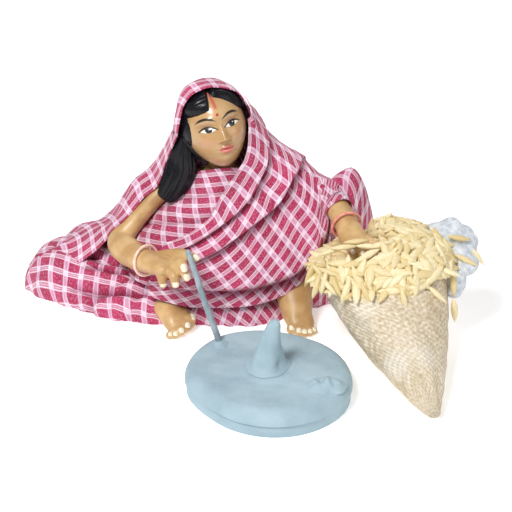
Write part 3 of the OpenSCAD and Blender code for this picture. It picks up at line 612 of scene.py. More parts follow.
def faceColours(q):
    x, z = q[..., 0], q[..., 2]
    ax = np.abs(x)
    front = q[..., 1] < -3
    c = np.tile(np.array(srgb(*head["skin"])[:3]), x.shape + (1,))

    def lay(mask, rgb):
        nonlocal c
        w = np.clip(mask, 0, 1)[..., None] * front[..., None]
        c = c * (1 - w) + np.array(srgb(*rgb)[:3]) * w

    def inside(d, soft=0.07):  # d is below zero inside
        return ease(soft, -soft, d)

    lay(0.4 * bump(ax, 5.6, 2.2) * bump(z, -3.0, 2.2), (206, 140, 104))  # cheeks
    lay(0.45 * bump(x, 0, 6) * bump(z, 6.5, 2.6), (216, 178, 130))  # forehead, paler: a painted highlight
    lay(0.5 * bump(ax, 1.5, 0.6) * bump(z, -4.2, 0.35), (128, 84, 50))  # painted shade under the nose
    for side in (-1, 1):
        k = eye
        u = (x * side - k["out"]) / k["half"]
        h = z - k["up"] - k["slant"] * u
        arch = np.clip(1 - u * u, 0, 1)
        upper, lower = k["upper"] * arch ** 0.85, k["lower"] * arch ** 0.9
        lay(0.75 * bump(u, 0.1, 1.0) * bump(h, 1.7, 0.65), (140, 98, 60))  # shade of the lid
        almond = np.maximum(h - upper, lower - h) + np.where(np.abs(u) > 1, 1, 0)
        lay(inside(almond), (246, 240, 226))
        iris = np.hypot(x * side - k["irisOut"], h - 0.22) - k["iris"]
        lay(inside(np.maximum(iris, almond)), (26, 18, 16))
        lay(inside(np.hypot(x - k["irisOut"] * side - 0.35, h - 0.6) - 0.22), (250, 248, 244))  # glint
        lash = np.abs(h - upper) - 0.29 * np.clip(1.25 - u * u * 0.4, 0.2, 2)
        lay(inside(lash) * (np.abs(u) < 1.12), (20, 14, 14))
        lay(inside(np.abs(h - lower) - 0.07) * (np.abs(u) < 1.0) * 0.7, (80, 50, 32))
        b = (x * side - brow["out"]) / brow["half"]
        stroke = np.abs(z - brow["up"] - brow["arch"] * (1 - (b - 0.1) ** 2))
        stroke = stroke - brow["thick"] * np.clip(1.15 - np.abs(b) ** 2.5, 0, 1)
        lay(inside(stroke, 0.1) * (np.abs(b) < 1.05), (34, 22, 16))
    w = np.clip(1 - (x / mouth["half"]) ** 2, 0, 1)
    bow = mouth["top"] + 0.25 * (bump(ax, 0.75, 0.55) - bump(x, 0, 0.35)) - 0.9 * (1 - w ** 0.6)
    under = mouth["bottom"] - 1.4 * w ** 0.7
    lips = np.maximum(z - bow, under - z) + np.where(ax > mouth["half"], 1, 0)
    lay(inside(lips, 0.12), (204, 104, 96))
    lay(inside(np.maximum(lips, np.abs(z + 7.3) - 0.4), 0.3) * 0.5, (226, 142, 130))  # shine of the lower lip
    line = np.abs(z - mouth["parting"] - 0.12 * (x / 2.4) ** 2) - 0.08
    lay(inside(line) * (ax < 2.3), (124, 50, 46))
    lay(inside(np.hypot(x, z - 5.4) - 0.5, 0.1), (190, 34, 52))  # forehead dot
    lay(inside(np.maximum(np.abs(x - 0.2) - 0.55, 7.4 - z), 0.4) * 0.75, (196, 74, 70))  # red in the parting
    return c


def headGrid(cols, rows, lowest, warp):
    t = np.linspace(-1, 1, cols, endpoint=False)
    a = math.pi * (warp * t + (1 - warp) * t ** 3)  # more columns at the face
    return np.meshgrid(a, np.radians(np.linspace(lowest, 89, rows)))


def makeHead():
    q = headSkin(*headGrid(head["cols"], head["rows"], -88.5, 0.62))
    v, f = capped(headPlace(q))
    c = faceColours(q).reshape(-1, 3)
    c = np.vstack([c, c[0], c[-1]])  # and the two poles
    return makePiece("head_clay", v, f, faceMat, paint=c, nodes=("head",), slot="skin_clay")


hair = dict(thick=1.3, cols=300, rows=150, sunk=-0.7, parting=-0.75, round=(100, 127, 169),
            lock=[(-12.6, -3.4, 74, 3.2, 3.0), (-14.8, -6, 67, 3.2, 3.0), (-16.4, -6.8, 60, 3.9, 3.4),
                  (-17.2, -7.8, 53.6, 5.0, 3.2), (-19.8, -9.2, 47.6, 4.7, 2.6),
                  (-22.8, -10.2, 43.2, 3.3, 1.5)])


def makeHair():
    skin = headSkin(*headGrid(hair["cols"], hair["rows"], -48, 0.75), features=0.0)
    x, y, z = skin[..., 0], skin[..., 1], skin[..., 2]
    rightEdge = 13.0 - 6.0 * ease(-0.1, 2.1, -x) + 0.09 * x  # fringe on the right of the parting
    leftEdge = 10.9 - 0.3 * x - 0.045 * x * x
    over = np.where(x < 0.1, z - rightEdge, z - leftEdge)
    side = np.where(x < 0, -x - 9.8 + 0.1 * (z + 2), x - 10.3)
    inward = np.maximum(np.maximum(over * (y < 2) - 40 * (y >= 2), side), y + 1.0)  # above zero under hair
    inward = np.where(z < -11, -1, inward)
    body = 1 - (1 - np.clip(inward / 2.6, 0, 1)) ** 2.2
    comb = np.arctan2(z + 1.5, -y) * 9.5
    strands = 0.10 * np.sin(comb * 3.1 + 1.2 * lumps(skin, 5, 3))
    strands = strands + 0.08 * np.sin(comb * 1.3 + 0.8) + 0.05 * np.sin(comb * 7.3)
    parting = hair["parting"] * bump(x, 0.15 + 0.02 * z, 0.5) * (y < 6)
    puff = bump(x, -6, 3.2) * bump(z, 7, 3.2) * (y < 0)
    t = np.where(inward > 0, (hair["thick"] + puff + strands + parting) * body, hair["sunk"])
    outward = unit(skin / np.array(hair["round"]))  # about the normal of the head
    g = headPlace(skin + outward * t[..., None])
    cap = makePiece("hair_cap", *capped(g), hairMat, nodes=("hair",), slot="hair_clay")

    def groove(a, s):
        fine = 0.035 * np.sin(15 * a - 4 * s + 1) + 0.02 * np.sin(27 * a + 3)
        return 1 + 0.05 * np.sin(9 * a + 5 * s) + fine

    fall = limbShell(hair["lock"], 96, 70, shape=groove, flat=(0.15, 1, 0.25))
    makePiece("hair_lock", *fall, hairMat, nodes=("hair",), slot="hair_clay")
    return cap


headObj = makeHead()
hairObj = makeHair()
print("head and hair made")


# trunk, arms and feet

# stations of z, x, y, half width and half depth
trunk = [(13, -1, 3, 14, 11), (20, -1, 3, 13, 10.4), (27, -1.5, 2.4, 11.6, 9.2), (34, -2, 1.6, 12.4, 9.4),
         (40, -2.5, 0.8, 14.5, 9.2), (44.5, -3, -0.2, 15.4, 7.6), (48, -3, -1.6, 11.5, 6.6),
         (51, -3, -3, 6.6, 5.4), (54, -3.1, -4.4, 4.6, 4.6), (59, -3.4, -5.6, 4.4, 4.4)]


def makeTrunk():
    rows, cols = 90, 96
    z, x, y, wide, deep = (s[:, None] for s in curveAt(trunk, np.linspace(0, 1, rows)).T)
    a = around(cols)
    v, f = capped(np.stack([x + wide * np.cos(a), y + deep * np.sin(a), np.repeat(z, cols, 1)], -1))
    out = unit((v - np.array([-2, 1, 0])) * [1, 1, 0])
    v = v + 0.1 * lumps(v, 9, 5)[:, None] * out
    return makePiece("trunk_clay", v, f, skinMat, nodes=("torso",), slot="core_clay")


rightArm = [(-18.5, 0, 45, 3, 3), (-27, -3, 39.5, 3, 3), (-35, -7, 31, 3, 3), (-39.6, -10.5, 25.8, 4.5, 4.4),
            (-36, -18.5, 25.6, 5, 4.7), (-30, -26, 26.4, 4.3, 3.9), (-25, -31, 27.4, 5.3, 3.2),
            (-20.4, -34.6, 28, 5.3, 2.4)]
rightFingers = [[(-18.6, -33.2, 29.6, 1.8), (-16.4, -37, 31.2, 1.8), (-15.4, -40, 30.6, 1.6)],
                [(-18.8, -35.4, 28.6, 1.9), (-15.6, -39, 29, 1.8), (-14.6, -40.4, 27.4, 1.6)],
                [(-20.8, -36.6, 27.6, 1.9), (-18.8, -39.4, 27, 1.8), (-18.4, -40.4, 24.8, 1.6)],
                [(-23.6, -36, 26.6, 1.8), (-23, -37.8, 25.2, 1.7), (-22.8, -38, 23.4, 1.5)],
                [(-24, -28.6, 29.2, 2), (-17, -32.6, 32.4, 1.8), (-11.4, -38.6, 33.8, 1.4)]]
leftArm = [(12, 1, 46, 3.4, 3.4), (22, -2, 46, 3.4, 3.4), (33, -8, 43, 4.2, 4.2), (37.4, -17, 41.8, 4.1, 4.1),
           (40.3, -26, 39.6, 3.9, 3.8), (42, -31, 38, 4.8, 3), (43.6, -35, 37.2, 4.6, 2.2)]
leftFingers = [[(40.4, -33.6, 37.4, 1.6), (41, -38, 36.8, 1.5), (41.4, -40.4, 36.2, 1.3)],
               [(42.8, -34.4, 37.4, 1.6), (44, -39, 36.8, 1.5), (44.8, -41.4, 36.2, 1.3)],
               [(45.2, -34.2, 37.3, 1.6), (46.8, -38.4, 36.8, 1.5), (47.8, -40.6, 36.2, 1.3)],
               [(46, -31.4, 37.8, 1.6), (49, -34.6, 37.2, 1.4), (50.6, -36.4, 36.6, 1.3)]]
rightFoot = [(-26, -19, 5.6, 4, 4), (-22, -24.6, 5.2, 5, 4.8), (-18.8, -29, 3.8, 5.6, 4),
             (-17.4, -31.4, 2.9, 5.4, 3)]
rightToes = [(-14.2, -28.6, 4.2, 2), (-15.6, -32.2, 3, 1.8), (-17.6, -34.4, 2.2, 1.7),
             (-19.6, -35.4, 1.5, 1.5), (-21.4, -35.4, 1.3, 1.4)]
leftFoot = [(25.6, -12, 14.5, 4.2, 4.2), (22.8, -19, 10.8, 6.5, 5.4), (23.6, -25.6, 5.2, 5.5, 5.2),
            (25, -30, 2.8, 5, 3.2)]
leftToes = [(21.6, -32, 1.8, 1.9), (24, -33.6, 1.6, 1.7), (26, -34, 1.5, 1.6), (27.9, -33.6, 1.4, 1.5),
            (29.4, -32.2, 1.3, 1.4)]
floorGap = 0.02  # under the feet


def makeArm(name, arm, fingers, node):
    parts = [limbShell(arm, 28, 60, 0.25)] + [limbShell(f, 18, 18) for f in fingers]
    return fused(name, parts, skinMat, (node,))


def makeFoot(name, foot, toes, node):
    parts = [limbShell(foot, 28, 30)]
    for *tip, r in toes:
        tip = np.array(tip)
        root = np.array(foot[-1][:3]) * 0.45 + tip * 0.55
        root[2] = max(root[2], tip[2] + 0.4)
        parts.append(limbShell([(*root, r * 1.05), (*(0.5 * root + 0.5 * tip), r), (*tip, r)], 14, 10))
    obj = fused(name, parts, skinMat, (node,))
    for v in obj.data.vertices:
        v.co.z = max(v.co.z, floorGap * mm)


nails = dict(thick=0.42, curl=0.25, square=0.8, sunk=0.6, fingerSeat=0.86, toeSeat=0.9, toe=0.62,
             right=[(1.25, 1.55), (1.2, 1.35), (1.2, 1.3), (1.2, 1.15), (1.0, 1.3)], left=[(0.85, 1.1)] * 4)


def nailShell(at, n, ahead, wide, tall):
    f = unit(np.asarray(ahead) - np.dot(ahead, n) * n)
    s = np.cross(f, n)
    ca, sa = (np.sign(w) * np.abs(w) ** nails["square"] for w in (np.cos(around(20)), np.sin(around(20))))
    edge = ca[:, None] * wide * s + sa[:, None] * tall * f
    rings = [at + edge * 0.8 - nails["sunk"] * n]
    for k in (1.0, 0.88, 0.65, 0.35, 0.0):
        lift = nails["thick"] * math.sqrt(max(0, 1 - k * k)) - nails["curl"] * (k * ca[:, None]) ** 2
        rings.append(at + k * edge + lift * n)
    return capped(rings)


def fingerNails(name, fingers, sizes, facing, lean, back):
    parts = []
    for f, (wide, tall) in zip(fingers, sizes):
        tip, joint, r = np.array(f[-1][:3]), np.array(f[-2][:3]), f[-1][3]
        d = unit(tip - joint)
        n = unit(np.array(facing) + lean * d)
        parts.append(nailShell(tip - back * d + r * nails["fingerSeat"] * n, n, d, wide, tall))
    makePiece(name, *gather(parts), nailMat, slot="skin_clay")


def toeNails():
    parts = []
    for toes, lean in ((rightToes, 0.35), (leftToes, 0.12)):
        n = unit([lean, -0.62, 0.78])
        for *tip, r in toes:
            half = r * nails["toe"]
            parts.append(nailShell(np.array(tip) + r * nails["toeSeat"] * n, n, [0, -1, -0.6], half, half))
    makePiece("toe_nails", *gather(parts), nailMat, slot="skin_clay")


trunkObj = makeTrunk()
rightArmObj = makeArm("right_arm_clay", rightArm, rightFingers, "right_arm")
leftArmObj = makeArm("left_arm_clay", leftArm, leftFingers, "left_arm")
makeFoot("right_foot_clay", rightFoot, rightToes, "right_foot")
makeFoot("left_foot_clay", leftFoot, leftToes, "left_foot")
fingerNails("right_hand_nails", rightFingers, nails["right"], (0.12, -0.62, 0.75), 0.35, 0)
fingerNails("left_hand_nails", leftFingers, nails["left"], (0.05, -0.3, 0.9), 0, 0.2)
toeNails()
for name, mat in (("spine_stick", stickMat), ("right_arm_wire", wireMat), ("left_arm_wire", wireMat),
                  ("lower_body", coreMat), ("right_bangle", ringMat), ("left_bangle", ringPinkMat)):
    cadNodes[name].data.materials.clear()
    cadNodes[name].data.materials.append(mat)
print("trunk, arms and feet made")


# sari: skirt, chest wrap with sash, veil

skirt = dict(waist=(-1, 3), around=340, rings=140, cloth=0.4, lift=1.0, bed=9.0, bowl=5, fold=2.4, folds=26,
             fanAt=(-12, -16), ripple=0.5, rise=1.3, dip=3.0, puffWide=3.4, dipWide=0.95, darkWide=0.9,
             creases=[[(-66, 2.5), (-58.9, -2.8), (-52.1, -4.9), (-48, -6.8)],
                      [(-54, -8.6), (-46.5, -11.3), (-41.3, -13.4), (-32, -15.3)],
                      [(-58.5, -11.8), (-53.3, -14.7), (-44.4, -18.6), (-37.5, -20.4), (-29.1, -21.8),
                       (-22, -22.4)]])
hemPlan = [(-78, 5), (-72, -5), (-58, -14), (-42, -22.5), (-24, -26), (-4, -27), (12, -26.5), (25, -17),
           (42, -8.5), (55, 4.5), (50, 18), (30, 27), (4, 31), (-24, 30), (-50, 24), (-70, 15)]
ridges = [((-4, 4, 23), (-66, 6, 15), 17), ((-66, 3, 13), (-22, -20, 12), 11),  # right thigh and shin
          ((2, 6, 22), (46, 4, 47), 15), ((46, 4, 46), (25, -13, 18), 12)]  # left thigh and shin


def lapHeight(x, y):  # height of the cloth over the legs
    total = skirt["bed"] ** skirt["bowl"]
    for a, b, w in ridges:
        dx, dy = b[0] - a[0], b[1] - a[1]
        s = np.clip(((x - a[0]) * dx + (y - a[1]) * dy) / (dx * dx + dy * dy), 0, 1)
        far = np.hypot(x - a[0] - dx * s, y - a[1] - dy * s) / w
        total = total + ((a[2] + (b[2] - a[2]) * s) * np.exp(-far ** 3)) ** skirt["bowl"]
    return total ** (1 / skirt["bowl"])


def fanFolds(x, y):  # puffed folds that gather at the hand and open to the right knee, and painted shade in their hollows
    dx, dy = x - skirt["fanAt"][0], y - skirt["fanAt"][1]
    a, r = np.arctan2(dy, dx), np.hypot(dx, dy)
    a = a + 0.05 * np.sin(r / 9 + 1) + 0.03 * np.sin(a * 7)
    f = np.abs(np.sin(a * skirt["folds"] / 2)) ** 0.55
    reach = np.clip((r - 8) / 24, 0, 1) * np.clip((-4 - x) / 20, 0, 1)
    return (f - 0.12) * reach, ease(0.62, 0.2, f) * reach


def creaseStep(x, y, path):  # a narrow groove with the cloth puffed up on both sides, and painted shade along the groove
    k, n = skirt, 60
    line = curveAt(path, np.linspace(0, 1, n))
    way = unit(np.gradient(line, axis=0))
    near, share, off = np.full(np.shape(x), 99.0), np.zeros(np.shape(x)), np.zeros(np.shape(x))
    for i, ((px, py), (wx, wy)) in enumerate(zip(line, way)):
        d = np.hypot(x - px, y - py)
        closer = d < near
        share = np.where(closer, i / (n - 1), share)
        off = np.where(closer, (y - py) * wx - (x - px) * wy, off)
        near = np.minimum(near, d)
    puff = k["rise"] * bump(near, 0, k["puffWide"]) * (0.7 - 0.3 * np.tanh(off))
    fade = np.sin(math.pi * share) ** 0.6
    return fade * (puff - k["dip"] * bump(near, 0, k["dipWide"])), fade * bump(near, 0, k["darkWide"])


def skirtGrid():
    k = skirt
    n, m = k["around"], k["rings"]
    w = np.array(k["waist"], float)
    part = np.arange(n) / n
    hem = curveAt(hemPlan, part, closed=True)
    t = np.sin(np.radians(90 * (np.arange(m + 1) + 0.3) / m))  # rings lie closer near the hem
    t[-1] = 1
    hem = hem + (k["lift"] - 1.17 + 0.55 * k["fold"] * fanFolds(*hem.T)[0])[:, None] * unit(hem - w)
    way = unit(hem - w)[None]
    ripple = k["ripple"] * np.sin(part * 2 * math.pi * 31 + 2 * np.sin(part * 40))
    p = w + t[:, None, None] * (hem - w)[None]
    x, y = p[..., 0], p[..., 1]
    soft = 0.28 * lumps(onFloor(x, y), 13, 8) + 0.12 * lumps(onFloor(x, y), 5, 9)
    fan, valleyShade = fanFolds(x, y)
    grooves, shades = zip(*(creaseStep(x, y, path) for path in k["creases"]))
    lap = lapHeight(x, y)
    drop = np.sqrt(np.clip(1 - t[:, None] ** (7 + 4 * ease(-25, -55, x)), 0, 1))  # fuller at the right knee
    z = np.maximum(lap + k["lift"] + k["fold"] * fan + soft + sum(grooves), lap + 0.55) * drop
    p = p + (ease(0.9, 1.0, t)[:, None] * ripple[None])[..., None] * way
    g = np.concatenate([p, np.maximum(z, 0.45)[..., None]], -1)
    down = gridLengths(np.concatenate([p, (lap * drop)[..., None]], -1))[1]
    uv = way * (down + np.linalg.norm(p[0] - w, axis=1)[None])[..., None]
    # painted shade along the creases and in the hollows of the fan folds
    return g, uv, paintedCreaseShade(sum(shades) + 0.3 * valleyShade)


def makeSkirt():
    g, uv, tone = skirtGrid()
    f = gridFaces(*g.shape[:2], wrap=True, flip=True)
    obj = makePiece("sari_skirt", g, f, skirtCotton, uv=uv, paint=tone, nodes=("skirt",), slot="sari_cloth")
    thicken(obj, skirt["cloth"])
    return gridTree(g, f)


def evenAlong(g, at, way):  # length along each row, counted from a plane across the cloth
    along, down = gridLengths(g)
    off = np.abs((g - np.array(at)) @ unit(way))
    zero = np.take_along_axis(along, off.argmin(1)[:, None], 1)[:, 0]
    rows = np.linspace(-1, 1, len(g))
    return along - np.polyval(np.polyfit(rows, zero, 5), rows)[:, None], down


sash = dict(across=190, down=170, cloth=0.4, gap=0.35, hang=-3.4, crispOver=2.6, pleats=[  # height, edge
    (0.0, [(0, -0.03), (1, -0.03)]),
    (2.8, [(0, 0.15), (0.19, 0.16), (0.34, 0.185), (0.49, 0.185), (0.62, 0.2), (1, 0.24)]),
    (4.0, [(0, 0.34), (0.27, 0.34), (0.43, 0.36), (0.53, 0.38), (0.66, 0.42), (0.78, 0.48), (1, 0.56)]),
    (2.6, [(0, 0.6), (0.16, 0.66), (0.25, 0.73), (0.34, 0.8), (0.41, 0.84), (0.55, 0.89), (0.71, 0.9),
           (1, 0.9)])])
sashNet = [
    [(-23, -19.5, 29.5), (-14.5, -19.8, 33.5), (-7, -18.8, 39.5), (-3.5, -17.8, 46.5),
     onHead(0.6, -8.6, -16.4), onHead(6, -7.8, -12), onHead(9.4, -7, -4.8), onHead(11.6, -5.8, 2.4),
     onHead(12.4, -3.4, 7.6)],
    [(-25.5, -21.5, 25.5), (-15.5, -21.8, 28.6), (-4.5, -20.2, 35.3), (3, -18.2, 43), (8.5, -15.5, 50),
     (10.6, -12.8, 56.5), (11.4, -9.2, 62), (11.2, -4.2, 67.4), (9.6, 1.4, 70.4)],
    [(-27, -23.2, 22), (-15.5, -24, 23.6), (-2, -22.2, 30), (8, -19.2, 37.5), (15, -15.5, 44.5),
     (17.2, -12, 50), (17.6, -8, 56), (17, -2.6, 60.4), (16.2, 4.2, 59.4)],
    [(-28.5, -24.5, 18.8), (-14.5, -26, 19.2), (0.5, -24.6, 24), (12.5, -21.4, 31), (21, -17, 38.5),
     (24, -12.5, 45), (25.2, -8, 51), (25, -2.5, 54.6), (24.2, 4.2, 53.4)],
    [(-29, -25.2, 16), (-14, -27.6, 14.8), (3, -27.3, 17.6), (16, -24.3, 24), (25, -20.2, 31.5),
     (29.6, -16.2, 39.5), (31.6, -11.5, 45.6), (31.4, -4.5, 48.8), (31, 2, 47.6)],
    [(-29.3, -25.6, 13.6), (-14, -28.8, 11.4), (4, -29.4, 12.8), (17.5, -27.2, 17.8), (26.5, -23.6, 24.5),
     (31.4, -21, 31.5), (34, -19.3, 38.4), (35.8, -15.5, 45.4), (36.6, -9.5, 47)],
    [(-29.4, -25.8, 11.8), (-14, -29.6, 9), (4.5, -30.6, 9.2), (18, -29, 12.4), (26, -26.2, 17.2),
     (30.6, -24.2, 22.4), (33, -22.8, 27.8), (34.6, -21.8, 33), (35.8, -21, 37)]]


def sashGrid(bodies, veilTree):
    k = sash
    g = netAt(sashNet, k["across"], k["down"])
    along, down = evenAlong(g, (8, -22, 30), (0.8, 0.25, 0.62))
    v, u = netShares(k["across"], k["down"])
    n = gridNormals(g, (0, -1, 0))
    edges = [(h, np.interp(u, *zip(*line)) + 0.006 * np.sin(23 * u + 40 * h)) for h, line in k["pleats"]]
    lift, shade = np.zeros_like(u), np.zeros_like(u)
    for (_, a), (h, b) in zip(edges[:-1], edges[1:]):  # a pleat rises to its edge and drops onto the next
        t = (v - a) / (b - a)
        dark = 0.055 if h > k["crispOver"] else 0.13
        # painted shade just below each pleat's edge
        shade = np.maximum(shade, np.where(v >= b - 0.004, ease(dark, 0.0, v - b), 0))
        rise = np.where((t > 0) & (t < 1.0), h * np.clip(t, 0, 1) ** 1.6, 0)
        lift = np.maximum(lift, rise * ease(1.0, 0.94, t))
    lift = lift + k["hang"] * ease(0.0, 0.02, v - edges[-1][1]) * ease(0.05, 0.2, u) * ease(0.95, 0.7, u)
    fade = (0.35 + 0.65 * ease(0.0, 0.2, u)) * (1 - 0.75 * ease(0.62, 0.95, u))
    soft = 0.3 * lumps(g, 16, 21) + 0.14 * lumps(g, 6, 22)
    g = laidOver(g + n * (lift * fade + soft)[..., None], bodies, k["gap"])
    g = laidOver(g, [(veilTree, 0.5)], k["gap"], 3.5, (u > 0.55) & (g[..., 1] > -12))
    return smoothGrid(g, 1), np.stack([along, down + 1.5], -1), paintedCreaseShade(shade * fade)


chest = dict(across=110, down=110, gap=0.3, fold=0.8, pitch=9.5)
chestNet = [
    [(-18, -0.5, 46.5), (-14, -4.6, 50), (-7.5, -11, 54), (0, -14.4, 56.2), (6.8, -15.5, 55.8)],
    [(-21.5, -0.5, 40.5), (-17.5, -7, 43.4), (-9.5, -13.4, 46.5), (0, -15, 48.5), (7.8, -15.6, 50.6)],
    [(-28, -1.5, 33), (-22.5, -10.8, 36.5), (-12.5, -16, 39), (-2, -16.8, 41.5), (7.1, -17, 45.2)],
    [(-34.5, -5, 26), (-27.5, -14, 29.5), (-16, -18.4, 31.5), (-4, -18.6, 34), (4.6, -17.4, 38.6)],
    [(-37, -10.5, 20.4), (-30, -18, 23.4), (-18.5, -21.4, 24.6), (-6, -20.9, 27), (1, -19.4, 31)],
    [(-36, -17.5, 15.4), (-30, -23.5, 15), (-20, -26, 14.6), (-9, -25.2, 16), (-1.5, -23.4, 20)]]


def chestGrid(bodies):
    k = chest
    g = netAt(chestNet, k["across"], k["down"])
    along, down = evenAlong(g, (-9, -15, 40), (1, 0.2, 0.1))
    n = gridNormals(g, (0, -1, 0))
    fold = np.abs(np.sin(math.pi * (down / k["pitch"] + 0.012 * along))) ** 0.8
    below = ease(3, 12, down)  # flat along the neck edge
    g = g + n * (k["fold"] * fold * below + 0.25 * lumps(g, 9, 27))[..., None]
    # painted shade in the hollows between the folds
    tone = paintedCreaseShade(0.45 * ease(0.5, 0.1, fold) * below)
    return smoothGrid(laidOver(g, bodies, k["gap"]), 2), np.stack([along, down], -1), tone


sleeve = dict(along=44, around=61, room=0.8, part=(0.03, 0.53))


def sleeveGrid():
    k = sleeve
    at = curveAt(leftArm, np.linspace(*k["part"], k["along"])) + np.array([0, 0, 0, k["room"], k["room"]])
    d = unit(np.gradient(at[:, :3], axis=0))
    e = unit(np.cross(d, [0.05, 0.1, 1]))
    u = np.cross(e, d)
    a = np.linspace(0, 2 * math.pi, k["around"])
    s = np.linspace(0, 1, k["along"])[:, None]
    r = 1 + 0.05 * np.sin(3 * a + 9 * s) + 0.04 * np.sin(22 * s + np.cos(a) * 1.5) + 0.1 * ease(0.86, 1, s)
    across = at[:, None, 3:4] * np.cos(a)[None, :, None] * e[:, None]
    upward = at[:, None, 4:5] * np.sin(a)[None, :, None] * u[:, None]
    g = at[:, None, :3] + r[..., None] * (across + upward)
    # painted shade where the sleeve dips in
    return g, np.stack(gridLengths(g), -1), paintedCreaseShade(0.5 * ease(1.0, 0.93, r))


def makeDrape(skirtTree, veilTree):
    inner = [(treeOf(trunkObj), 0.9), (treeOf(leftArmObj), 0.25), (treeOf(rightArmObj), 0.2),
             (skirtTree, 0.3)]
    headTree = treeOf(headObj)
    cloths = [chestGrid(inner + [(headTree, 0.0)]), sashGrid(inner + [(headTree, 0.1)], veilTree),
              sleeveGrid()]
    middles = [np.array([-2, 1, 40]), np.array([5, 10, 15]), cloths[2][0].mean(1, keepdims=True)]  # inside
    v, f = gather([(g, outerFaces(g, middle)) for (g, _, _), middle in zip(cloths, middles)])
    uv = np.vstack([uv.reshape(-1, 2) for _, uv, _ in cloths])
    tone = np.vstack([tone.reshape(-1, 3) for _, _, tone in cloths])
    obj = makePiece("sari_drape", v, f, sashCotton, uv=uv, paint=tone, nodes=("drape",), slot="sari_cloth")
    thicken(obj, sash["cloth"])


veil = dict(across=260, down=110, cloth=0.4, gap=0.3, fold=1.6, folds=9, pull=0.8, tuck=3.2,
            middle=(-5, 0, 40))
veilNet = [
    [(-69.5, -1.5, 15), (-72.4, 2, 17), (-74.6, 8, 12), (-75.4, 12, 5.5), (-75.6, 14, 0.8)],
    [(-58.5, -6.5, 16), (-59.5, 0, 22.8), (-65, 9.5, 17), (-69, 16, 8.5), (-70, 18.5, 0.8)],
    [(-47.4, -9.6, 23), (-50.2, -0.5, 26.2), (-57.5, 10.5, 20.5), (-63, 18, 10), (-64.2, 22, 0.8)],
    [(-41.6, -9, 30.2), (-44.6, -0.5, 28.2), (-52.5, 11, 22), (-58.5, 19, 12), (-60.2, 23.8, 0.8)],
    [(-36.4, -7, 33.9), (-40.4, 0.5, 33), (-47, 12, 23.4), (-53.5, 20.5, 14), (-55.5, 25.2, 0.8)],
    [(-31.4, -5.6, 40), (-35, 2.5, 43.2), (-40.5, 13.5, 29.5), (-46, 22, 17), (-48.5, 27.3, 0.8)],
    [(-26, -4.6, 45), (-29.2, 4, 47.4), (-31.5, 13.5, 40.5), (-36.5, 22, 21.5), (-38.5, 29.3, 0.8)],
    [(-22.2, -7, 56.4), (-24.2, 4, 56.4), (-25.2, 12.5, 47), (-30, 21.5, 26), (-31.5, 30.4, 0.8)],
    [(-18.9, -10.8, 65.8), (-20.4, 0.5, 64.4), (-20.9, 12.3, 51.5), (-25, 21.3, 29.5), (-26.5, 31.2, 0.8)],
    [onHead(-13.3, -3.8, 3.8), onHead(-14, 3, 2.4), (-17, 12, 55), (-20.5, 21, 33), (-22, 31.8, 0.8)],
    [onHead(-7.8, -5.4, 12.6), onHead(-8, 4, 13.5), (-12.5, 13, 64), (-14, 20.5, 38), (-16, 33, 0.8)],
    [onHead(0, -7.2, 14.8), onHead(0, 4.5, 16.7), (-5.5, 12.5, 68), (-6.5, 20, 40), (-9, 34, 0.8)],
    [onHead(9.1, -4.6, 10.8), onHead(8.5, 4.5, 12.7), (2, 13, 63), (0.5, 20.5, 38), (-1.5, 33.6, 0.8)],
    [onHead(12.5, -4.4, 4.2), onHead(13.6, 3.5, 2.5), (6.4, 13, 57), (6.5, 21, 34), (4.5, 33.2, 0.8)],
    [(9.6, -5, 64), (9.8, 2, 63), (11, 11.5, 53), (13, 20.5, 32), (11.5, 32.6, 0.8)],
    [(15.6, -5, 58), (15.8, 2, 57.4), (16.6, 11, 49.6), (18.8, 20.2, 31), (17.8, 31.8, 0.8)],
    [(23.4, -4.5, 52.2), (23.6, 2, 51.6), (24.2, 9.8, 47), (26.5, 18.8, 29.5), (26.3, 30.2, 0.8)],
    [(30, -5.5, 46.8), (30.4, 0, 46), (31, 8.2, 43.6), (33.5, 17.2, 27.5), (33.5, 28, 0.8)],
    [(35.4, -8.5, 44.4), (35.8, -1.5, 43.6), (36.4, 6.6, 41.8), (39, 15.4, 25.5), (39.6, 24.8, 1)]]


def makeVeil(skirtTree):
    k = veil
    middle = np.array(k["middle"])
    net = np.transpose(np.array(veilNet), (1, 0, 2))  # rows from the front edge to the hem
    g = netAt(net, k["across"], k["down"])
    along, down = gridLengths(g)
    v, u = netShares(k["across"], k["down"])
    n = gridNormals(g, g - middle)
    fall = ease(0.25, 0.85, v)
    fold = np.abs(np.sin(math.pi * (k["folds"] * u + 0.35 * v + 0.12 * np.sin(9 * u)))) ** 0.7
    side = (1 - ease(0.26, 0.4, u)) * ease(0.02, 0.1, u)
    pull = np.abs(np.sin(math.pi * (down / 11 + 0.35 * u))) ** 0.7 * side * k["pull"]
    g = g + n * (k["fold"] * fold * fall + pull + 0.16 * lumps(g, 8, 31))[..., None]
    bodies = [(treeOf(headObj), 0.4), (treeOf(hairObj), 0.15), (treeOf(rightArmObj), 0.2),
              (treeOf(leftArmObj), 0.6), (treeOf(trunkObj), 1.6), (skirtTree, 0.35)]
    for _ in range(2):
        g = smoothGrid(laidOver(g, bodies, k["gap"]), 3)
    g = laidOver(g, bodies, k["gap"])
    g[..., 2] -= k["tuck"] * ease(0.13, 0.03, u) * ease(0.8, 0.45, v)  # merges with the skirt at the knee
    g[..., 2] = np.maximum(g[..., 2], 0.5)
    uv = np.stack([along[0:1] * (1 - v) + along * v, down], -1)
    f = outerFaces(g, middle)
    # painted shade in the hollows of the folds
    tone = paintedCreaseShade(0.45 * ease(0.55, 0.15, fold) * fall)
    obj = makePiece("sari_veil", g, f, veilCotton, uv=uv, paint=tone, nodes=("veil",), slot="sari_cloth")
    thicken(obj, k["cloth"])
    return gridTree(g, f)


skirtTree = makeSkirt()
veilTree = makeVeil(skirtTree)
makeDrape(skirtTree, veilTree)
print("sari laid")


# hand mill

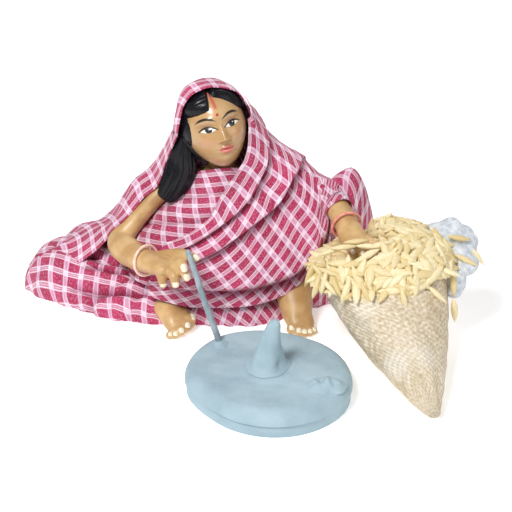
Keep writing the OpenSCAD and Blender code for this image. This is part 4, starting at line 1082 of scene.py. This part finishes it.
bedLow, bedHigh = (np.array(c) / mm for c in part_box("bed_stone"))
runnerLow, runnerHigh = (np.array(c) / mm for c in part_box("runner_stone"))
millAxis = (bedLow + bedHigh) / 2 * [1, 1, 0]
mill = dict(pin=3.0, top=9.35, seed=4,
            press=[-0.4, -2.8, -2.8, -0.2, 0.6, -1.4, 0.6, 1.3],  # how far the rims are out of round
            bed=dict(bow=0.35, play=0.02, dents=0.0), runner=dict(bow=4.2, play=0.1, dents=1.0))


def levelRing(r, a, z):
    return np.stack([r * np.cos(a), r * np.sin(a), np.full(len(a), float(z))], -1)


def wheelShell(radius, low, high, bow, play, dents):  # hand-pressed disc with a hole for the pin
    foot, seed, a = 0.3, mill["seed"], around(220)
    hole = mill["pin"] + play
    rim = radius + valueAt(mill["press"], a / (2 * math.pi), closed=True)
    rim = rim + 0.22 * np.sin(3 * a + 2 * seed) + 0.1 * np.sin(7 * a + seed)
    rings = [(r, low) for r in np.linspace(hole, radius - 0.8, 8)]
    for t in np.radians(np.linspace(-90, 0, 7)):
        rings.append((radius - foot + foot * math.cos(t), low + foot + foot * math.sin(t)))
    bowTall = min(bow, high - low - foot)
    for t in np.radians(np.linspace(0, 90, 12)):
        rings.append((radius - bow + bow * math.cos(t), high - bowTall * (1 - math.sin(t))))
    rings += [(r, high) for r in np.linspace(radius - bow, hole, 46)]
    out = []
    for r, z in rings:
        rr = r + (rim - radius) * np.clip((r - hole) / (radius - hole), 0, 1)
        ring = levelRing(rr, a, z)
        if z > low + 0.3 * (high - low):
            flat = ring * [1, 1, 0]
            worn = dents * ease(hole + 5.5, hole + 8, rr) * (1 if z >= high - 1e-6 else 0.6)
            ring[:, 2] += worn * (0.22 * lumps(flat, 16, seed) + 0.1 * lumps(flat, 6, seed + 1) - 0.2)
            ring[:, 2] = np.minimum(ring[:, 2], high + 0.12)
        out.append(ring + millAxis)
    return np.array(out + out[:1]), gridFaces(len(out) + 1, len(a), wrap=True)


rod = dict(foot=(-3.1, -54.2, 9.35), aim=(-8.7, 11.2, 22.15), radius=1.1, length=33.7, sunk=3.3, bend=0.15,
           thick=[(0, 0.93), (0.2, 0.97), (0.4, 1.0), (0.6, 0.95), (0.8, 0.9), (1, 0.84)],  # shares
           collar=[(-2.4, 3.0), (-0.8, 3.0), (0.0, 2.7), (0.3, 2.3), (0.7, 1.85), (1.1, 1.6), (1.4, 1.45),
                   (1.45, 1.3), (0.2, 1.28)])  # height, radius
rodFoot, rodWay = np.array(rod["foot"]), unit(rod["aim"])


def makeStones():
    v, f = wheelShell((bedHigh - bedLow)[0] / 2, bedLow[2], bedHigh[2], **mill["bed"])
    makePiece("lower_stone", v, f, clayMat, body="mill_base", nodes=("bed_stone",), slot="mill_clay")
    a = around(40)
    collar = []
    for up, r in rod["collar"]:
        w = 1 + 0.06 * np.sin(3 * a + up) + 0.05 * np.sin(5 * a)
        collar.append(rodFoot + levelRing(r * w, a, up) + up * rodWay * [1, 1, 0])
    runner = wheelShell((runnerHigh - runnerLow)[0] / 2, runnerLow[2], mill["top"], **mill["runner"])
    v, f = gather([runner, capped(collar)])
    makePiece("upper_stone", v, f, clayMat, body="mill_runner", nodes=("runner_stone",), slot="mill_clay")


cone = dict(foot=9.5, high=17.4, lean=(1.9, -0.6, 0), pin=(1.1, 5.0, 9.5),
            profile=[(8.2, 9.5), (8.1, 9.58), (7.7, 9.85), (7.1, 10.4), (6.3, 11.5), (5.5, 13.0), (4.7, 15.0),
                     (4.0, 17.0), (3.5, 19.2), (3.0, 21.2), (2.6, 23.2), (2.2, 25.0), (1.6, 26.2),
                     (0.7, 26.85)])


def makeCone():
    a = around(120)
    rings = [levelRing(mill["pin"], a, z) for z in cone["pin"]]
    for r, z in curveAt(cone["profile"], np.linspace(0, 1, 60)):
        up = (z - cone["foot"]) / cone["high"]
        w = 0.94 + 0.09 * np.cos(a - 3.5) * (1 - up) ** 1.5
        w = w + 0.04 * np.sin(2 * a + 3 * up) + 0.035 * np.sin(3 * a - 4 * up + 1)
        w = w + 0.05 * np.sin(5 * a + 8 * up) * (1 - up)
        w = w - 0.13 * bump(up, 0.12, 0.1) * np.abs(np.sin(2.5 * a + 0.7)) ** 3  # pinched above the foot
        rings.append(levelRing(r * np.minimum(w, 1.02 + 0.08 * up), a, z) + up * up * np.array(cone["lean"]))
    v, f = capped(np.array(rings) + millAxis)
    makePiece("mill_cone", v, f, clayMat, body="mill_base", nodes=("pivot_cone",), slot="mill_clay")


def makeRod():
    start, stop = rodFoot - rod["sunk"] * rodWay, rodFoot + (rod["length"] - 1.0) * rodWay
    stations = []
    for t, w in rod["thick"]:
        bend = rod["bend"] * np.array([math.sin(9 * t), math.cos(7 * t), 0]) * (t > 0.2)
        stations.append((*(start + (stop - start) * t + bend), rod["radius"] * w))

    def whittled(a, s):
        return 1 + 0.04 * np.sin(2 * a + 6 * s) + 0.03 * np.sin(5 * a - 9 * s)

    v, f = limbShell(stations, 28, 70, shape=whittled)
    makePiece("turning_rod", v, f, rodMat, body="mill_runner", nodes=("handle_rod",), slot="rod_wood")


dab = dict(out=(17.6, -11.6), radius=6.3, high=3.1, top=3.2, sunk=0.7, foot=1.0,
           pinches=[(-1.7, -1.2, 1.3, 0.6, 2.4), (0.5, 0.8, 0.9, 0.4, 2.0),
                    (-0.7, 2.6, 1.1, -1.4, 1.6)])  # height, then middle and width along x and along y


def makeDab():
    k = dab
    at = millAxis + np.array([*k["out"], mill["top"]])
    share, a = np.meshgrid(np.linspace(1, 0.02, 46), around(120), indexing="ij")
    edge = k["radius"] * (1 + 0.12 * np.sin(2 * a + 1) + 0.07 * np.sin(3 * a + 2) + 0.04 * np.sin(7 * a))
    x, y = share * edge * np.cos(a), share * edge * np.sin(a)
    h = k["high"] * (1 - share ** 1.5) ** 1.3 * (0.8 + 0.2 * lumps(onFloor(x, y), 5, 44))
    h = h + sum(deep * bump(x, px, wide) * bump(y, py, tall) for deep, px, wide, py, tall in k["pinches"])
    g = np.stack([x, y, np.clip(h, 0.0, k["top"]) - k["sunk"] * share ** 3], -1) + at
    g = np.concatenate([g[:1] * [1, 1, 0] + [0, 0, at[2] - k["foot"]], g], 0)
    makePiece("pinched_dab", *capped(g), clayMat, body="mill_runner", nodes=("clay_dab",), slot="mill_clay")


makeStones()
makeCone()
makeRod()
makeDab()
print("mill made")


# jute pouch with paddy

pouch = dict(x=[65.8, 62.2, 58, 53.2, 49.4], wide=[0.09, 0.36, 0.64, 0.88, 1], mouth=22.8, lip=29.5, slant=3,
             top=[(-86, 4), (-78, 11.5), (-70, 19), (-62, 25.6), (-54.4, 29.5)],
             low=[(-84, 0), (-68, -1.4), (-44, -0.6), (-22, 9), (-14, 29.5)],
             around=200, rings=110, wall=0.9, girth=118, lined=70)


def pouchRing(t, inset, n):
    k = pouch
    p, q = curveAt(k["top"], t), curveAt(k["low"], t)
    c, v = (p + q) / 2, (p - q) / 2
    h = np.linalg.norm(v)
    a = around(n)
    x = valueAt(k["x"], t) + (k["mouth"] * valueAt(k["wide"], t) - inset) * np.sin(a)
    y, z = (c + np.cos(a)[:, None] * v * (h - inset) / h).T
    return np.stack([x + k["slant"] * t * t * (1 - np.cos(a)), y, np.maximum(inset, z)], -1)


def makeSack():
    k, n = pouch, pouch["around"]
    ts = np.linspace(0, 1, k["rings"])
    g = np.array([pouchRing(t, 0, n) for t in ts])
    out = unit(g - g.mean(1, keepdims=True))
    a, s = around(n)[None], ts[:, None]
    dent = -0.5 * (0.5 + 0.5 * np.sin(9 * a + 5 * s)) * ease(1, 0.5, s) * ease(0, 0.2, s)
    dent = dent + 0.35 * lumps(g, 14, 51) - 0.35 * (0.5 + 0.5 * lumps(g, 6, 52)) * ease(0.98, 0.8, s)
    g = g + out * np.minimum(dent, 0.25)[..., None]
    g[..., 2] += (0.5 * np.sin(7 * a + 1) + 0.3 * np.sin(13 * a)) * ease(0.9, 1, s)  # wavy lip
    g[..., 2] = np.maximum(g[..., 2], 0.05)
    inner = np.array([r + unit(r.mean(0) - r) * k["wall"] for r in g[:k["lined"]:-3]])
    inner[..., 2] = np.maximum(inner[..., 2], k["wall"])
    toe = np.repeat(g[:1].mean(1, keepdims=True), n, 1)
    rings = np.roll(np.concatenate([toe, g, inner], 0), n // 2, 1)
    rings = np.concatenate([rings, rings[:, :1]], 1)  # the seam has its own column for the weave
    along = np.linspace(0, 1, n + 1)[None] * k["girth"] * np.ones((len(rings), 1))
    uv = np.stack([along, gridLengths(rings)[1].mean(1, keepdims=True) + 0 * along], -1)
    f = gridFaces(*rings.shape[:2])
    makePiece("jute_pouch", rings, f, juteMat, uv=uv, body="pouch", nodes=("sack",), slot="jute")


heap = dict(at=(52.6, -33.8, 29.5), rx=24.4, ry=20.6, high=9.5, handX=46.5, handY=-43.0, wrist=(6, -37.5, 6))


def bayEdge(y):  # where the bay for the hand ends, towards +X
    out, middle, wide = heap["wrist"]
    return heap["handX"] + out * bump(y, middle, wide)


def heapHeight(x, y):  # dome of grain with a bay for the hand
    k = heap
    e = np.clip(1 - ((x - k["at"][0]) / k["rx"]) ** 2 - ((y - k["at"][1]) / k["ry"]) ** 2, 0, 1)
    s = np.maximum(ease(0, 7, x - bayEdge(y)), ease(0, 2.5, k["handY"] - y))
    return k["at"][2] + 0.4 + 0.8 * e + k["high"] * np.sqrt(e) * s


def heapGrid(n, m, reach):  # rings from the rim, or past it, to the middle, and their shares
    rim = pouchRing(1.0, 1.4, n)
    t = np.linspace(reach, 0.01, m)
    c = np.array(heap["at"][:2])
    p = c + t[:, None, None] * (rim[None, :, :2] - c)
    z = np.maximum(pouch["lip"] - 1.0, heapHeight(p[..., 0], p[..., 1]))
    return np.concatenate([p, z[..., None]], -1), t[:, None]


wad = dict(around=160, rings=60, inset=1.7, under=1.2, fluff=0.85, tufts=[  # seed, place, radii
    (63, (75.5, -25.5, 32.5), (10, 9, 8.5)), (64, (79.5, -32.5, 30), (5.5, 7, 5.5)),
    (65, (76.6, -37.5, 23.5), (4.2, 5.5, 6))])


def makeWad():
    k = wad
    top, t = heapGrid(k["around"], k["rings"], 1.0)
    top[..., 2] += 0.5 * lumps(top, 7, 61) + 0.3 * lumps(top, 3, 62) - k["under"] - 1.4 * ease(0.75, 1.0, t)
    cup = np.array([pouchRing(t, k["inset"], k["around"]) for t in np.linspace(0.35, 0.98, 24)])
    parts = [capped(np.concatenate([cup, top], 0))]
    for seed, at, radii in k["tufts"]:
        v, f = ballShell(np.array(at), np.array(radii), 56, 38)
        parts.append((v + k["fluff"] * lumps(v, 7.5, seed)[:, None] * unit(v - np.array(at)), f))
    v, f = gather(parts)
    makePiece("wad_filling", v, f, wadMat, body="pouch", nodes=("sack_filling",), slot="wad")


husk = dict(sides=8, flat=0.72, profile=[(0.05, -4.6), (0.62, -3.6), (1.18, -2.0), (1.42, -0.2), (1.2, 1.8),
                                         (0.66, 3.4), (0.05, 4.7)])


def huskSeed():  # one grain in its husk, pointed at both ends
    a = around(husk["sides"])
    rings = []
    for r, z in husk["profile"]:
        bow = 0.25 * math.cos(z * 0.33) - 0.2
        rings.append(np.stack([np.full(len(a), z), r * np.cos(a) + bow, husk["flat"] * r * np.sin(a)], -1))
    return makePiece("husk_seed", *capped(rings), huskMat, body=None)


def scatterTree(seedObj, toneSeed):  # grains strewn over a bed, each with its own turn, size and tone
    t = bpy.data.node_groups.new("paddy_scatter", "GeometryNodeTree")

    def socket(name, way, kind):
        return t.interface.new_socket(name, in_out=way, socket_type="NodeSocket" + kind).identifier

    def add(kind, **props):
        n = t.nodes.new(kind)
        for k, v in props.items():
            setattr(n, k, v)
        return n

    socket("Geometry", "INPUT", "Geometry")
    sizes = ("Spacing", "Density", "Smallest", "Largest", "Tilt")
    ids = {name: socket(name, "INPUT", "Float") for name in sizes}
    ids["Seed"] = socket("Seed", "INPUT", "Int")
    socket("Geometry", "OUTPUT", "Geometry")
    given = add("NodeGroupInput").outputs
    points = add("GeometryNodeDistributePointsOnFaces", distribute_method="POISSON")
    grain = add("GeometryNodeObjectInfo")
    grain.inputs["Object"].default_value = seedObj
    put = add("GeometryNodeInstanceOnPoints")
    low, high = add("ShaderNodeCombineXYZ"), add("ShaderNodeCombineXYZ")
    low.inputs["Z"].default_value, high.inputs["Z"].default_value = -math.pi, math.pi
    minus = add("ShaderNodeMath", operation="MULTIPLY")
    minus.inputs[1].default_value = -1
    spin = add("FunctionNodeRandomValue", data_type="FLOAT_VECTOR")
    turn = add("FunctionNodeEulerToRotation")
    lean = add("FunctionNodeRotateRotation", rotation_space="LOCAL")
    size = add("FunctionNodeRandomValue", data_type="FLOAT")
    tone = add("FunctionNodeRandomValue", data_type="FLOAT")
    tone.inputs["Seed"].default_value = toneSeed
    keep = add("GeometryNodeStoreNamedAttribute", data_type="FLOAT", domain="INSTANCE")
    keep.inputs["Name"].default_value = "tone"
    real = add("GeometryNodeRealizeInstances")
    coat = add("GeometryNodeSetMaterial")
    coat.inputs["Material"].default_value = huskMat
    for source, target in (
            (given["Geometry"], points.inputs["Mesh"]), (given["Spacing"], points.inputs["Distance Min"]),
            (given["Density"], points.inputs["Density Max"]), (given["Seed"], points.inputs["Seed"]),
            (points.outputs["Points"], put.inputs["Points"]),
            (grain.outputs["Geometry"], put.inputs["Instance"]), (given["Tilt"], minus.inputs[0]),
            (minus.outputs[0], low.inputs["X"]), (minus.outputs[0], low.inputs["Y"]),
            (given["Tilt"], high.inputs["X"]), (given["Tilt"], high.inputs["Y"]),
            (low.outputs[0], spin.inputs[0]), (high.outputs[0], spin.inputs[1]),
            (given["Seed"], spin.inputs["Seed"]), (spin.outputs[0], turn.inputs[0]),
            (points.outputs["Rotation"], lean.inputs[0]),
            (turn.outputs[0], lean.inputs[1]), (lean.outputs[0], put.inputs["Rotation"]),
            (given["Smallest"], size.inputs[2]), (given["Largest"], size.inputs[3]),
            (given["Seed"], size.inputs["Seed"]), (size.outputs[1], put.inputs["Scale"]),
            (put.outputs[0], keep.inputs["Geometry"]), (tone.outputs[1], keep.inputs["Value"]),
            (keep.outputs[0], real.inputs[0]), (real.outputs[0], coat.inputs[0]),
            (coat.outputs[0], add("NodeGroupOutput").inputs[0])):
        t.links.new(source, target)
    return t, ids


paddy = dict(spacing=2.4, density=900000.0, smallest=0.92, largest=1.18, seed=11, toneSeed=18, tilt=0.3,
             flatTilt=0.12, reach=1.13, around=140, rings=52, sag=1.9,
             layers=((0.3, False), (1.9, False), (0.3, True), (1.7, True)),  # rise, and flat under the hand
             placed=[  # middle and direction of single grains at the rim and the hand
                 ((27.2, -43.5, 30.2), (-0.35, -0.2, -0.9)), ((29.2, -48.6, 28.4), (-0.3, -0.35, -0.9)),
                 ((33, -51.5, 30.2), (0.6, -0.6, -0.5)), ((28.8, -41.5, 32.6), (0.9, -0.4, 0.1)),
                 ((57.5, -56.6, 28), (0.25, -0.35, -0.9)), ((69, -51.5, 27), (0.75, -0.3, -0.6)),
                 ((75.5, -43.5, 26.5), (0.1, -0.2, -1)), ((76.2, -45.5, 17.5), (0.12, -0.1, -1)),
                 ((73, -46, 32.6), (0.9, -0.3, -0.2)), ((80, -38.5, 33), (0.85, -0.2, -0.35)),
                 ((84.5, -32, 31.5), (0.6, -0.3, -0.7)), ((78, -33, 38.5), (0.9, 0.2, -0.25)),
                 ((38.2, -43.4, 40.4), (1, 0.12, 0.04)), ((46.5, -43.2, 40.6), (1, -0.12, 0.02)),
                 ((42.4, -41.2, 41.4), (0.98, 0.1, 0.06)), ((34, -42.6, 38.6), (0.9, 0.1, 0.3)),
                 ((50.5, -42.2, 40.8), (0.95, 0.25, 0.1)), ((30.5, -46, 31.8), (0.5, -0.3, -0.5)),
                 ((31.5, -50, 30.8), (-0.2, -0.4, -0.8)), ((35.5, -52.6, 30.4), (0.4, -0.5, -0.7)),
                 ((33, -47.5, 33.2), (0.8, -0.5, -0.1)), ((38.5, -54.4, 29.8), (-0.3, -0.3, -0.85)),
                 ((45, -55.8, 29.6), (0.35, -0.3, -0.85)), ((56, -31, 41.6), (0.8, 0.5, 0.2)),
                 ((53, -23.5, 40.6), (0.7, 0.5, 0.35)), ((62, -36, 41), (0.9, -0.4, 0.15))])


def paddyBed(rise, flat):  # the part of the heap that one layer of grains is strewn on
    k = paddy
    bed, t = heapGrid(k["around"], k["rings"], k["reach"])
    bed[..., 2] += rise - k["sag"] * ease(1.0, k["reach"], t)
    if flat:
        bed[..., 2] = np.minimum(bed[..., 2], pouch["lip"] + 0.7 + 0.5 * rise)
    f = gridFaces(*bed.shape[:2], wrap=True)
    x, y, _ = bed.reshape(-1, 3)[f].mean(1).T
    atHand = (x < bayEdge(y) + 3.5) & (y < -20) & (y > heap["handY"] - 3.6)
    atWad = (x > 66) & (y > -29)
    f = f[atHand & ~atWad] if flat else f[~(atHand | atWad)]
    return makePiece("paddy_bed", bed, f, huskMat, body=None)


def makePaddy():
    k = paddy
    seedObj = huskSeed()
    tree, ids = scatterTree(seedObj, k["toneSeed"])
    parts, tones = [], []
    for turn, (rise, flat) in enumerate(k["layers"]):
        bed = paddyBed(rise, flat)
        mod = bed.modifiers.new("scatter", "NODES")
        mod.node_group = tree
        for name, value in (("Spacing", k["spacing"] * mm), ("Density", k["density"]),
                            ("Smallest", k["smallest"]), ("Largest", k["largest"]),
                            ("Tilt", k["flatTilt" if flat else "tilt"]), ("Seed", k["seed"] + turn)):
            mod[ids[name]] = value
        mesh = bpy.data.meshes.new_from_object(bed.evaluated_get(bpy.context.evaluated_depsgraph_get()))
        v, tone = np.zeros(len(mesh.vertices) * 3), np.zeros(len(mesh.vertices))
        mesh.vertices.foreach_get("co", v)
        mesh.attributes["tone"].data.foreach_get("value", tone)
        parts.append((v.reshape(-1, 3) / mm, [list(q.vertices) for q in mesh.polygons]))
        tones.append(tone)
        bpy.data.objects.remove(bed)
    seedV = np.array([q.co for q in seedObj.data.vertices]) / mm
    seedF = [list(p.vertices) for p in seedObj.data.polygons]
    for i, (at, d) in enumerate(k["placed"]):
        e = unit(d)
        s = unit(np.cross(e, [0.3, 0.5, 1]))
        parts.append((np.array(at) + seedV @ np.array([e, s, np.cross(s, e)]), seedF))
        tones.append(np.full(len(seedV), (i * 0.37) % 1))
    bpy.data.objects.remove(seedObj)
    v, f = gather(parts)
    print("paddy grains:", len(f) // len(seedF))
    obj = makePiece("paddy_grains", v, f, huskMat, body="pouch", nodes=("grains",), slot="paddy")
    obj.data.attributes.new("tone", "FLOAT", "POINT").data.foreach_set("value", np.concatenate(tones))


makeSack()
makeWad()
makePaddy()
print("pouch made")
